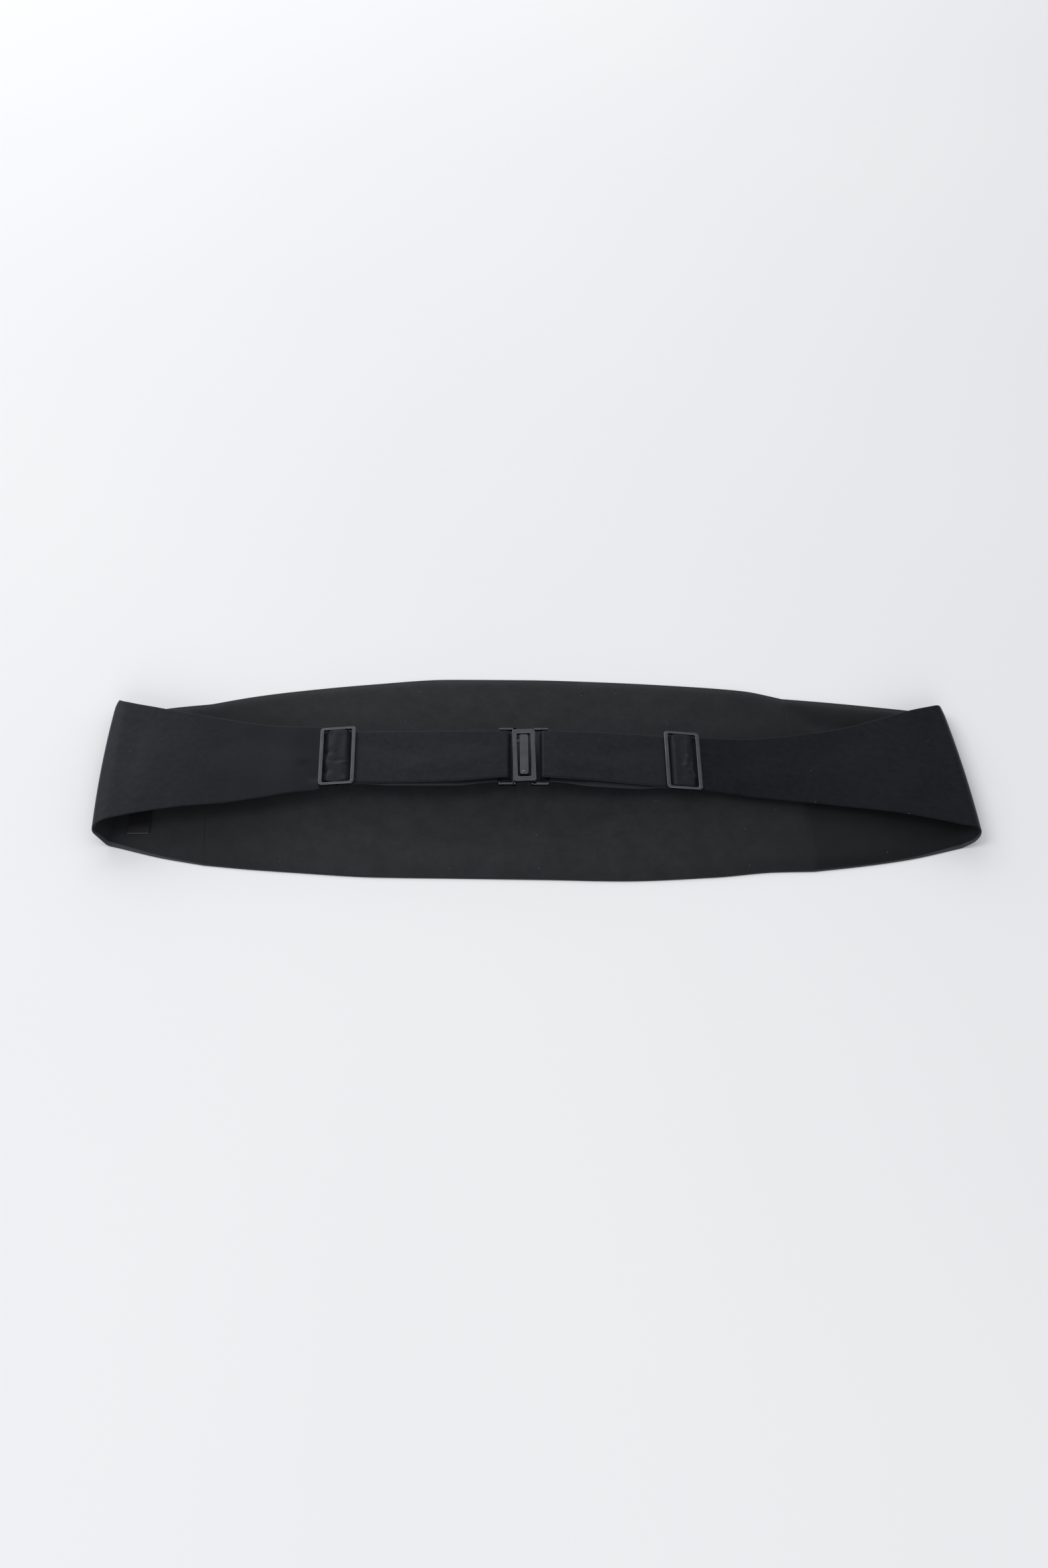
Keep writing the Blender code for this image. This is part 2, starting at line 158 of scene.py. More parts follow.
def cloud(tree, shader, place, patch, detail, dark, light):
    """Colours a shader in soft patches that wander between two close shades."""
    patches = add_node(
        tree,
        "ShaderNodeTexNoise",
        {"Scale": 1 / (patch * MM), "Detail": detail},
        {"Vector": place},
    )
    tone = add_node(
        tree,
        "ShaderNodeValToRGB",
        links={"Fac": patches.outputs["Fac"]},
        stops=[(CLOUD_DARK, linear(dark)), (CLOUD_LIGHT, linear(light))],
    )
    tree.links.new(tone.outputs["Color"], shader.inputs["Base Color"])


def make_paper():
    """Matt white paper: nearly all the light comes back, with no shine of its own."""
    values = {"Roughness": 0.9, "Specular IOR Level": 0.1}
    material, tree, shader = new_material("matt_white_paper", values)
    place = add_node(tree, "ShaderNodeTexCoord").outputs["Object"]
    cloud(tree, shader, place, PAPER_PATCH, 2.0, "#eeeff1", "#f1f2f3")
    return material


def make_floor():
    sheet = bmesh.new()
    bmesh.ops.create_grid(sheet, x_segments=8, y_segments=8, size=FLOOR_HALF * MM)
    bmesh.ops.translate(sheet, vec=(0.0, 0.0, -FLOOR_DROP * MM), verts=sheet.verts)
    floor = make_object("pale_floor", sheet, make_paper())


def make_light():
    world = bpy.data.worlds.new("white_studio")
    bpy.context.scene.world = world
    world.use_nodes = True
    sky = world.node_tree.nodes["Background"]
    sky.inputs["Color"].default_value = linear(SKY_COLOUR)
    sky.inputs["Strength"].default_value = SKY_STRENGTH
    for name, (place, width, height, watts) in SOFT_PANELS.items():
        lamp = bpy.data.lights.new(name, "AREA")
        lamp.shape = "RECTANGLE"
        lamp.size = width * MM
        lamp.size_y = height * MM
        lamp.energy = watts
        panel = bpy.data.objects.new(name, lamp)
        bpy.context.scene.collection.objects.link(panel)
        panel.location = Vector(place) * MM
        panel.rotation_euler = (-Vector(place)).to_track_quat("-Z", "Y").to_euler()


make_floor()
make_light()
print("Studio: sky", SKY_STRENGTH, "and", list(SOFT_PANELS))

# %% [markdown]
# Satin is woven with long threads that float over the surface, so it is smooth and a
# little lustrous. At this distance no single thread shows: the eye sees a soft sheen,
# faint streaks along the cloth and here and there a speck of lint. A real float is
# about 0.3 mm wide, finer than a pixel, so the streaks are drawn at 0.8 mm.
#
# The pattern reads the cloth's own UV map, laid out in metres along and across each
# piece, so it runs with the cloth round every fold. The right wing is cut across the
# grain: seen from here its threads mirror a little less of the room.

# %% Satin
RUBBED = 3.6  # how wide the satin's patches are that handling rubbed paler or left dark
DRIFT = 0.36  # painted shade: the shade drifts this far from light to dark
DRIFT_LONG = 290.0  # over this length
DARK_UP_TO = 0.10  # the noise and the drift give dark cloth up to this value
LIGHT_FROM = 0.56  # and light cloth from this one
LINT_SPACING = 10.0
LINT_SPECK = 0.019  # a speck's reach, as a share of that spacing
LINT_RARE = 0.84  # cells of the pattern below this shade stay clean
LINT_ON_SATIN = "#5c5e64"
FLOATS = (5.0, 0.8, 0.05, 0.5)  # as drawn: length, width, height, strength of the bump
PAINTED_SHADE_BY_SLIDE = ("X", "#030304", 165.0, 62.0, 1.0)  # painted shade towards the slide: side, tone, from, to, share
PIECE_TURNED = 8.6  # this width of a piece's near edge is turned to its back, and carries a painted highlight
STRAP_TURNED = 12.5
TURN_FADE = 0.5  # over which the painted edge highlight fades out
SATINS = (
    # name, dark, light, mirrors, sheen, turned, its painted edge highlight, painted shade
    # along it
    ("woven", "#0b0b0d", "#17171a", 0.17, 0.07, PIECE_TURNED, "#353539", ()),
    # The left wing's satin is painted lighter, with painted shade darkening it towards its
    # slide.
    ("painted_light_and_shade", "#040405", "#1a1b20", 0.185, 0.07, PIECE_TURNED, "#3d3d40", (PAINTED_SHADE_BY_SLIDE,)),
    ("cross_cut", "#030305", "#131418", 0.14, 0.20, PIECE_TURNED, "#3d3d40", ()),
    ("strip", "#040405", "#18191d", 0.165, 0.07, STRAP_TURNED, "#26262a", ()),
)


def cloth_colour(tree, place, along, patch, dark, light, lint):
    """A shade that wanders between light and dark in patches, with painted shade that darkens
    it towards the piece's last end, and a few specks of lint."""
    patches = add_node(
        tree,
        "ShaderNodeTexNoise",
        {"Scale": 1 / (patch * MM), "Detail": 4.0, "Roughness": 0.78},
        {"Vector": place},
    )
    drifting = add_node(
        tree,
        "ShaderNodeMath",
        {1: -DRIFT / (DRIFT_LONG * MM)},
        {0: along, 2: patches.outputs["Fac"]},
        operation="MULTIPLY_ADD",
    )
    shade = add_node(
        tree,
        "ShaderNodeValToRGB",
        links={"Fac": drifting.outputs[0]},
        stops=[(DARK_UP_TO, linear(dark)), (LIGHT_FROM, linear(light))],
    )
    cells = add_node(
        tree,
        "ShaderNodeTexVoronoi",
        {"Scale": 1 / (LINT_SPACING * MM), "Randomness": 1.0},
        {"Vector": place},
        voronoi_dimensions="2D",
    )
    near_point = add_node(
        tree,
        "ShaderNodeMath",
        {1: LINT_SPECK},
        {0: cells.outputs["Distance"]},
        operation="LESS_THAN",
    )
    chosen = add_node(
        tree,
        "ShaderNodeMath",
        {1: LINT_RARE},
        {0: cells.outputs["Color"]},
        operation="GREATER_THAN",
    )
    speck = add_node(
        tree,
        "ShaderNodeMath",
        links={0: near_point.outputs[0], 1: chosen.outputs[0]},
        operation="MULTIPLY",
    )
    # Sockets 0, 6 and 7 of a colour mix are its factor and its two colours.
    mixed = add_node(
        tree,
        "ShaderNodeMix",
        {7: linear(lint)},
        {0: speck.outputs[0], 6: shade.outputs["Color"]},
        data_type="RGBA",
    )
    return mixed.outputs[2]


def near_end(tree, colour, place, tone, start, end, share):
    """Turns a colour a share of the way to a tone up to start, fading out by end."""
    reach = add_node(
        tree,
        "ShaderNodeMapRange",
        {"From Min": start * MM, "From Max": end * MM, "To Min": share, "To Max": 0.0},
        {"Value": place},
        interpolation_type="SMOOTHSTEP",
    )
    blended = add_node(
        tree,
        "ShaderNodeMix",
        {7: linear(tone)},
        {0: reach.outputs["Result"], 6: colour},
        data_type="RGBA",
    )
    return blended.outputs[2]


def streaks(tree, place, long, wide, height, strength):
    """The bump of threads that are long along the cloth and narrow across it."""
    stretched = add_node(
        tree,
        "ShaderNodeMapping",
        {"Scale": (1 / (long * MM), 1 / (wide * MM), 1.0)},
        {"Vector": place},
    )
    threads = add_node(
        tree,
        "ShaderNodeTexNoise",
        {"Scale": 1.0, "Detail": 2.0, "Roughness": 0.6},
        {"Vector": stretched.outputs["Vector"]},
    )
    bump = add_node(
        tree,
        "ShaderNodeBump",
        {"Strength": strength, "Distance": height * MM},
        {"Height": threads.outputs["Fac"]},
    )
    return bump.outputs["Normal"]


def new_cloth(name, values, patch, shades, tones):
    """A woven material with its colours, and the place that its relief reads."""
    material, tree, shader = new_material(name, values)
    place = add_node(tree, "ShaderNodeUVMap", uv_map="weave").outputs["UV"]
    sides = add_node(tree, "ShaderNodeSeparateXYZ", links={"Vector": place}).outputs
    colour = cloth_colour(tree, place, sides["X"], patch, *shades)
    for side, *tone in tones:
        colour = near_end(tree, colour, sides[side], *tone)
    tree.links.new(colour, shader.inputs["Base Color"])
    return material, tree, shader, place


def make_satin(name, dark, light, mirrors, sheen, turned, edge_highlight_tone, tones):
    """Polyester satin, woven: bluish black with a broad soft sheen, rubbed paler in fine
    patches. Where it is turned to the piece's back it is painted paler, a painted highlight."""
    values = {
        "Roughness": 0.5,
        "Specular IOR Level": mirrors,
        "Specular Tint": linear("#e8eeff"),
        "Sheen Weight": sheen,
        "Sheen Roughness": 0.3,
        "Sheen Tint": linear("#dfe6ff"),
    }
    shades = (dark, light, LINT_ON_SATIN)
    painted_edge_highlight = ("Y", edge_highlight_tone, turned, turned + TURN_FADE, 1.0)
    name = "black_polyester_satin_" + name
    material, tree, shader, place = new_cloth(
        name, values, RUBBED, shades, (*tones, painted_edge_highlight)
    )
    tree.links.new(streaks(tree, place, *FLOATS), shader.inputs["Normal"])
    return material


satin, left_satin, right_satin, strap_satin = [make_satin(*row) for row in SATINS]
print("Satins:", [cloth.name for cloth in (satin, left_satin, right_satin, strap_satin)])

# %% [markdown]
# The lining is a plain matt twill. It scatters light instead of mirroring it, so it
# looks a little lighter and greyer than the satin from straight above, and it shows no
# highlights. Its ribs run slantwise, about 0.4 mm apart, which is finer than a pixel
# here: they only break up what little shine there is. The right wing's lining is cut
# across the grain, so it reads darker than the rest.

# %% Lining
PATCH = 11.0  # how wide the lining's lighter and darker patches are
RIB_SPACING = 0.4
RIB_HIGH = 0.05
WAVE_PERIOD = 2 * math.pi / 10 / math.sqrt(2)  # across a diagonal wave of scale 1
LINT_ON_LINING = "#66686e"
PAINTED_SHADE_BY_SEAM = ("X", "#17181a", 0.0, 70.0, 0.42)  # painted shade towards the seam: side, tone, from, to, share
PAINTED_SHADE_BY_FAR_SEAM = ("X", "#17181a", 290.0, 215.0, 0.34)
PAINTED_SHADE_IN_FOLD = ("X", "#0b0c0e", 46.0, 22.0, 0.62)  # painted shade inside the fold
TURNED_SEAM = ("X", "#1b1c1e", 0.0, 3.5, 0.8)
LININGS = (
    # name,       dark,     light, mirrors, tones
    ("woven", "#252628", "#2f3032", 0.02, (PAINTED_SHADE_BY_SEAM, PAINTED_SHADE_BY_FAR_SEAM)),
    ("folded", "#252628", "#2f3032", 0.02, (PAINTED_SHADE_BY_SEAM, PAINTED_SHADE_IN_FOLD)),
    ("cross_cut", "#0e0f11", "#141517", 0.10, (TURNED_SEAM,)),
)


def make_lining(name, dark, light, mirrors, tones):
    """Polyester twill, woven: matt charcoal black, with painted shade that darkens it a
    little beside its seams and inside the fold."""
    values = {
        "Roughness": 0.7,
        "Specular IOR Level": mirrors,
        "Sheen Weight": 0.05,
        "Sheen Roughness": 0.6,
    }
    name = "charcoal_polyester_twill_" + name
    shades = (dark, light, LINT_ON_LINING)
    material, tree, shader, place = new_cloth(name, values, PATCH, shades, tones)
    ribs = add_node(
        tree,
        "ShaderNodeTexWave",
        {"Scale": WAVE_PERIOD / (RIB_SPACING * MM), "Distortion": 1.5, "Detail": 1.0},
        {"Vector": place},
        wave_type="BANDS",
        bands_direction="DIAGONAL",
    )
    bump = add_node(
        tree,
        "ShaderNodeBump",
        {"Strength": 0.35, "Distance": RIB_HIGH * MM},
        {"Height": ribs.outputs["Fac"]},
    )
    tree.links.new(bump.outputs["Normal"], shader.inputs["Normal"])
    return material


panel_twill, left_twill, right_twill = [make_lining(*row) for row in LININGS]
print("Linings:", [cloth.name for cloth in (panel_twill, left_twill, right_twill)])

# %% [markdown]
# Slides and clasp are cast in zinc, tumbled smooth and plated a dark gunmetal grey. The
# plating mirrors the room dimly and evenly, and its rounded edges catch the light as
# thin bright lines. Tumbling leaves a fine grain of about a quarter of a millimetre.

# %% Gunmetal
GRAIN = 0.25
GRAIN_HIGH = 0.02
PLATING_PATCH = 6.0  # how wide the plating's lighter and darker patches are


def make_gunmetal():
    """Die-cast zinc, tumbled and plated gunmetal grey."""
    values = {"Metallic": 1.0, "Roughness": 0.3}
    material, tree, shader = new_material("gunmetal_plated_cast_zinc_tumbled", values)
    place = add_node(tree, "ShaderNodeTexCoord").outputs["Object"]
    cloud(tree, shader, place, PLATING_PATCH, 3.0, "#535458", "#5d5e64")
    grain = add_node(
        tree,
        "ShaderNodeTexNoise",
        {"Scale": 1 / (GRAIN * MM), "Detail": 2.0},
        {"Vector": place},
    )
    bump = add_node(
        tree,
        "ShaderNodeBump",
        {"Strength": 0.2, "Distance": GRAIN_HIGH * MM},
        {"Height": grain.outputs["Fac"]},
    )
    tree.links.new(bump.outputs["Normal"], shader.inputs["Normal"])
    return material


gunmetal = make_gunmetal()
print("Metal:", gunmetal.name)

# %% [markdown]
# Every cloth piece of the sash is a band. Seen along its edge it follows a line of
# straight runs and rounded bends, and across it lies between a near and a far edge. Such
# a band is a grid of quads, moved row by row onto the line. Each table below has a row
# for each corner of the line. They are the rows that the solids were made from, but for
# the right fold, which reaches 1 mm further out: its cloth is thinner than the solid.
#
# The columns are the corner's x and z on the outer side, the radius of its bend, the
# near and far edges' y, the lean of the section along X for each millimetre of Y, how
# far its middle bows out along X, and how far a lining stays inside the near edge.

# %% The bands' rows
FRONT_PANEL = (
    # x,      z,  bend,  near,  far,   lean,  bow, rim
    (-161.79, 0.0, 0.0, -54.4, 46.4, -0.080, 0.0, 0.7),
    (-140.0, 0.0, 0.0, -56.8, 51.4, -0.076, 0.0, 0.6),
    (-120.0, 0.0, 0.0, -58.5, 54.8, -0.074, 0.0, 0.6),
    (-80.0, 0.0, 0.0, -61.3, 59.8, -0.070, 0.0, 0.6),
    (-40.0, 0.0, 0.0, -62.0, 63.1, -0.067, 0.0, 0.6),
    (0.0, 0.0, 0.0, -62.7, 62.8, -0.064, 0.0, 0.6),
    (36.0, 0.0, 0.0, -63.5, 61.4, -0.061, 0.0, 0.6),
    (80.0, 0.0, 0.0, -61.4, 58.4, -0.058, 0.0, 0.6),
    (110.0, 0.0, 0.0, -58.4, 55.2, -0.056, 0.0, 0.6),
    (127.89, 0.0, 0.0, -58.0, 50.2, -0.055, 0.0, 0.7),
)

LEFT_WING = (
    (-161.81, 0.0, 0.0, -54.4, 46.4, -0.080, 0.0, 0.7),
    (-180.0, 0.0, 0.0, -50.2, 44.4, -0.040, 0.0, 1.2),
    (-205.0, 0.0, 3.2, -42.8, 40.6, 0.0, 0.0, 2.2),
    (-212.8, 10.9, 3.7, -40.4, 39.7, 0.0, -1.2, 1.0),
    (-205.8, 14.1, 11.0, -37.4, 36.6, 0.0, -0.4, 0.7),
    (-190.0, 13.95, 60.0, -33.1, 32.9, 0.0, 0.0, 0.6),
    (-170.0, 13.2, 90.0, -28.9, 29.0, 0.0, 0.0, 0.6),
    (-150.0, 11.9, 90.0, -26.0, 25.6, 0.0, 0.0, 0.6),
    (-132.0, 12.2, 60.0, -22.9, 22.3, 0.0, 0.0, 0.6),
    (-117.0, 13.7, 50.0, -20.8, 20.3, 0.0, 0.0, 0.6),
)

RIGHT_WING = (
    (127.91, 0.0, 0.0, -58.0, 50.0, -0.055, 0.0, 0.7),
    (150.0, 0.0, 0.0, -55.2, 47.6, -0.050, 0.0, 0.7),
    (175.0, 0.0, 0.0, -51.0, 44.4, -0.045, 0.0, 0.9),
    (201.2, 0.0, 4.2, -44.2, 40.6, -0.050, 0.0, 1.8),
    (206.2, 2.9, 5.0, -42.7, 39.4, -0.066, 0.3, 1.4),
    (212.15, 11.4, 4.1, -39.9, 37.4, -0.092, 1.1, 1.0),
    (200.0, 10.7, 30.0, -38.0, 35.9, -0.080, 0.3, 0.7),
    (190.0, 10.5, 60.0, -34.8, 33.8, -0.060, 0.0, 0.6),
    (172.0, 9.2, 60.0, -29.6, 28.9, -0.030, 0.0, 0.6),
    (150.0, 7.0, 90.0, -24.6, 23.9, 0.0, 0.0, 0.6),
    (124.0, 6.4, 90.0, -20.8, 20.0, 0.0, 0.0, 0.6),
    (103.0, 6.9, 60.0, -18.4, 17.6, 0.0, 0.0, 0.6),
    (92.0, 8.2, 40.0, -17.5, 16.9, 0.0, 0.0, 0.6),
)
print("Rows of the panel and the wings:", *map(len, (FRONT_PANEL, LEFT_WING, RIGHT_WING)))

# %% [markdown]
# A bend is an arc that touches both runs beside its corner. The arc is walked in small
# turns, fine enough that the fold's highlight stays smooth. Between the rows the widths
# follow a curve that never swings past the values it joins, as a cut edge would.

# %% Walk along a band
def rounded_path(rows, longest, widest_turn):
    """Points along the rows' corners as (length along, place, direction), and the length
    at each row."""
    corners = [Vector((row[0], row[1])) for row in rows]
    heading = (corners[1] - corners[0]).normalized()
    points = [(0.0, corners[0].copy(), heading)]
    places = [0.0]
    along = 0.0
    last = corners[0]
    for i in range(1, len(corners)):
        before = heading
        after = (corners[i + 1] - corners[i]).normalized() if i + 1 < len(corners) else before
        turn = before.angle_signed(after) if (before - after).length > 1e-6 else 0.0
        cut = abs(rows[i][2] * math.tan(turn / 2))
        start = corners[i] - before * cut
        run = (start - last).length
        steps = max(1, math.ceil(run / longest))
        for k in range(1, steps + 1):
            points.append((along + run * k / steps, last.lerp(start, k / steps), before))
        along += run
        arc = abs(rows[i][2] * turn)
        places.append(along + arc / 2)
        if arc > 1e-6:
            side = math.copysign(1.0, turn)
            centre = start + Vector((before.y, -before.x)) * rows[i][2] * side
            turns = math.ceil(math.degrees(abs(turn)) / widest_turn)
            bends = max(2, turns, math.ceil(arc / longest))
            for k in range(1, bends + 1):
                spun = Matrix.Rotation(-turn * k / bends, 2)
                spot = centre + spun @ (start - centre)
                points.append((along + arc * k / bends, spot, spun @ before))
            along += arc
        last = points[-1][1]
        heading = after
    return points, places


def smooth(places, values, at):
    """A smooth curve through a column's values that never swings past them."""
    steps = [b - a for a, b in zip(places, places[1:])]
    rises = [(b - a) / s for a, b, s in zip(values, values[1:], steps)]
    slopes = [rises[0]]
    for left, right in zip(rises, rises[1:]):
        slopes.append(2 * left * right / (left + right) if left * right > 0 else 0.0)
    slopes.append(rises[-1])
    i = 0
    while i < len(steps) - 1 and at > places[i + 1]:
        i += 1
    t = min(1.0, max(0.0, (at - places[i]) / steps[i]))
    start_share = 2 * t**3 - 3 * t**2 + 1
    bend = (t**3 - 2 * t**2 + t) * slopes[i] + (t**3 - t**2) * slopes[i + 1]
    return start_share * values[i] + (1 - start_share) * values[i + 1] + bend * steps[i]


# %% [markdown]
# A cut edge would fray, so each edge of the sash is turned under. Across the band the
# cloth therefore starts as a lip on the hidden side, rounds the edge, crosses the face
# and rounds the other edge to a second lip. The ends close in the same round way, which
# leaves a soft groove where two pieces are sewn together.

# %% Turned edges
EDGE_STEPS = 4
EDGE_FLAT = 0.6  # the face stays flat this far beside an edge, so the edge stays crisp
END_CLOSED = 0.96  # how thick a closed end stays, as a share of the band
END_SHARES = (0.12, 0.45, 1.0)


def turned_section(face, back, lip, across):
    """Points across a band as (share of the width, offset, depth): lip, edge, face, edge
    and lip. Depths are measured inward from the row's own line."""
    radius = abs(back - face) / 2
    middle = (face + back) / 2
    towards_face = math.copysign(1.0, face - back)
    edge = [(lip, back)]
    for k in range(EDGE_STEPS):
        angle = math.pi * k / EDGE_STEPS
        offset = radius - radius * math.sin(angle)
        edge.append((offset, middle - towards_face * radius * math.cos(angle)))
    section = [(0.0, offset, depth) for offset, depth in edge]
    section += [(0.0, radius, face), (0.0, radius + EDGE_FLAT, face)]
    for k in range(1, across):
        share = k / across
        section.append((share, radius * (1 - 2 * share), face))
    section += [(1.0, -radius - EDGE_FLAT, face), (1.0, -radius, face)]
    section += [(1.0, -offset, depth) for offset, depth in reversed(edge)]
    return section


def stations(rows, inner_side, longest, widest_turn, end_round):
    """What the band is like at each step along its line."""
    points, places = rounded_path(rows, longest, widest_turn)
    columns = list(zip(*rows))[3:]  # near, far, lean, bow and rim
    _, start, first_heading = points[0]
    length, stop, last_heading = points[-1]
    for share in END_SHARES:
        step = end_round * share
        points.append((step, start + first_heading * step, first_heading))
        points.append((length - step, stop - last_heading * step, last_heading))
    line = []
    for along, spot, heading in sorted(points, key=lambda point: point[0]):
        near, far, lean, bow, rim = (smooth(places, column, along) for column in columns)
        to_end = min(1.0, min(along, length - along) / end_round)
        closing = END_CLOSED + (1 - END_CLOSED) * math.sqrt(1 - (1 - to_end) ** 2)
        inward = Vector((heading.y, -heading.x)) * inner_side
        line.append((along, spot, inward, near, far, lean, bow, rim, closing))
    return line


# %% [markdown]
# Cloth that has been worn and folded keeps soft creases. Each is placed as a
# straight stretch with a rounded trough or ridge along it. A crease on the upper layer
# moves satin and lining together. On the layer that lies on the table only the lining
# rises or sinks, because the satin under it is held flat. The first row of the panel's
# table is broader than a crease: there the lining stands off the satin like a low pillow.

# %% Creases
EDGE_FADE = 9.0  # the lower lining stays tucked down this close to its edges
PRESSED = (0.36, 0.18)  # how thick the near and far edges stay, as shares of the band
PRESS_RUN = 5.0  # the edges are pressed thin over this much of the width


def eased(share):
    """A share from 0 to 1 that starts and ends gently."""
    share = min(1.0, max(0.0, share))
    return share * share * (3 - 2 * share)


def crease_height(creases, x, y):
    """How far a point rises: the sum of all creases' soft profiles there."""
    total = 0.0
    for x0, y0, x1, y1, width, height in creases:
        run = Vector((x1 - x0, y1 - y0))
        share = min(1.0, max(0.0, (Vector((x - x0, y - y0)) @ run) / run.length_squared))
        away = math.hypot(x - x0 - run.x * share, y - y0 - run.y * share)
        total += height * math.exp(-((away / width) ** 2))
    return total


PANEL_CREASES = (
    #  x0,    y0,     x1,    y1,  width, height
    (-104.0, -3.0, 74.0, -3.0, 23.0, 2.3),
    (-118.0, 50.0, -104.0, 18.0, 10.0, -0.45),
    (-66.0, 56.0, -40.0, 42.0, 14.0, 0.35),
    (-20.0, 44.0, 30.0, 36.0, 11.0, -0.25),
    (-112.0, -22.0, -78.0, -36.0, 15.0, 0.40),
    (-60.0, -46.0, 10.0, -52.0, 12.0, 0.22),
    (-30.0, -24.0, 22.0, -30.0, 13.0, -0.25),
    (52.0, -34.0, 92.0, -26.0, 13.0, 0.25),
    (60.0, 44.0, 96.0, 50.0, 10.0, 0.28),
    (104.0, 52.0, 122.0, 38.0, 6.0, 0.35),
)
LEFT_FLOOR_CREASES = (
    (-166.0, -36.0, -178.0, -24.0, 9.0, 0.35),
    (-186.0, -34.0, -200.0, -20.0, 8.0, -0.30),
    (-206.6, -16.0, -208.4, -38.0, 1.3, -0.70),
    (-176.0, 20.0, -194.0, 34.0, 9.0, 0.30),
)
LEFT_TOP_CREASES = (
    (-197.5, 19.0, -196.0, 0.0, 8.0, -0.30),
    (-186.5, 3.0, -188.5, -20.0, 9.0, 0.32),
    (-170.0, 24.0, -158.0, 8.0, 8.0, -0.22),
    (-150.0, -4.0, -128.0, -14.0, 9.0, 0.25),
    (-112.5, -4.0, -108.0, -12.0, 2.4, -0.45),
    (-138.0, 14.0, -116.0, 6.0, 7.0, -0.25),
)
RIGHT_FLOOR_CREASES = (
    (130.0, 41.0, 141.0, 31.0, 4.0, -0.70),
    (141.0, 31.0, 160.0, 27.0, 4.5, -0.55),
    (133.0, 20.0, 156.0, 18.0, 6.0, 0.45),
    (146.0, 40.0, 166.0, 35.0, 5.0, 0.30),
    (136.0, -30.0, 150.0, -46.0, 9.0, -0.35),
    (162.0, -36.0, 186.0, -30.0, 9.0, 0.30),
)
RIGHT_TOP_CREASES = (
    (196.0, 22.0, 199.0, -20.0, 7.0, -0.40),
    (186.0, -8.0, 176.0, -22.0, 9.0, 0.30),
    (160.0, 16.0, 138.0, 8.0, 9.0, -0.25),
    (118.0, -4.0, 98.0, -10.0, 8.0, 0.28),
)
pucker = crease_height(RIGHT_FLOOR_CREASES, 140.0, 34.0)
print("Pucker near the right seam:", round(pucker, 2), "mm")

# %% [markdown]
# The sweep makes one grid for a band, moves its vertices onto the line and gives it a UV
# map in metres. Solidify then gives the skin its real 0.2 mm, and one level of
# Subdivision Surface rounds the bends. The flat size is worked out from the same rows:
# it is the piece as it was cut, lips and all, before any fold was pressed into it.

# %% Sweep a band
SKIN = 0.2
WALL_OPTIONS = {"thickness": SKIN * MM, "offset": -1.0, "use_even_offset": True}
FAR_RIM = 0.5  # how far a lining stays inside the far edge, as a share of the near rim
PULL_FADE = 0.6  # a pull fades out round a fold from this steepness on


def section_points(station, section, inset, creases, floor_moves, pulls, pressed):
    """The places of one section's points, and how far across the cloth each lies."""
    _, spot, inward, near, far, lean, bow, rim, closing = station
    floor_creases, top_creases = creases
    near = near + rim * inset
    far = far - rim * inset * FAR_RIM
    face = section[len(section) // 2][2]
    middle = (face + section[0][2]) / 2
    upward = inward.y  # 1 where the inside faces up, -1 where the outside does
    placed = []
    across = 0.0
    before = None
    for share, offset, depth in section:
        y = near + (far - near) * share + offset
        part = (y - near) / (far - near)
        x = spot.x + lean * y + bow * 4 * part * (1 - part)
        depth = middle + (depth - middle) * closing
        to_edge = min(y - near, far - y)
        thin = pressed[0] if y - near < far - y else pressed[1]
        depth *= thin + (1 - thin) * eased(to_edge / PRESS_RUN)
        if upward > 0:
            fade = eased(to_edge / EDGE_FADE) * floor_moves
            depth += crease_height(floor_creases, x, y) * upward * fade
        else:
            depth += crease_height(top_creases, x, y) * upward
        on_top = min(1.0, max(0.0, PULL_FADE - upward))
        for pull_x, pull_y, reach_x, reach_y, move_x, move_y in pulls:
            away = ((x - pull_x) / reach_x) ** 2 + ((y - pull_y) / reach_y) ** 2
            x += move_x * math.exp(-away) * on_top
            y += move_y * math.exp(-away) * on_top
        here = Vector((x + inward.x * depth, y, spot.y + inward.y * depth))
        across += math.hypot(y - before[0], depth - before[1]) if before else 0.0
        before = (y, depth)
        placed.append((here, across))
    return placed


def sweep(
    name,
    line,
    section,
    material,
    inset=0.0,
    creases=((), ()),
    floor_moves=0.0,
    pulls=(),
    pressed=PRESSED,
):
    """A band of cloth as an object, and its flat width, length and area in metres."""
    cloth = bmesh.new()
    count = len(section)
    bmesh.ops.create_grid(cloth, x_segments=len(line) - 1, y_segments=count - 1, size=0.5)
    order = sorted(cloth.verts, key=lambda v: (round(v.co.x, 5), round(v.co.y, 5)))
    laid_out = {}
    widths = []
    for i, station in enumerate(line):
        placed = section_points(station, section, inset, creases, floor_moves, pulls, pressed)
        for j, (here, across) in enumerate(placed):
            vertex = order[i * count + j]
            vertex.co = here * MM
            laid_out[vertex] = (station[0] * MM, across * MM)
        widths.append(placed[-1][1])
    weave = cloth.loops.layers.uv.new("weave")
    for face in cloth.faces:
        for corner in face.loops:
            corner[weave].uv = laid_out[corner.vert]
    cloth.normal_update()
    point_faces_out(cloth, order[count + count // 2], line[1], section)
    item = make_object(name, cloth, material)
    item.data.shade_smooth()
    wall = item.modifiers.new("skin", "SOLIDIFY")
    for option, value in WALL_OPTIONS.items():
        setattr(wall, option, value)
    rounder = item.modifiers.new("rounder", "SUBSURF")
    rounder.levels = 1
    rounder.render_levels = 1
    area = 0.0
    for i in range(1, len(line)):
        area += (line[i][0] - line[i - 1][0]) * (widths[i] + widths[i - 1]) / 2
    flat = (max(widths) * MM, line[-1][0] * MM)
    print(name, "cut:", [round(size / MM) for size in flat], "mm")
    return item, flat, area * MM * MM


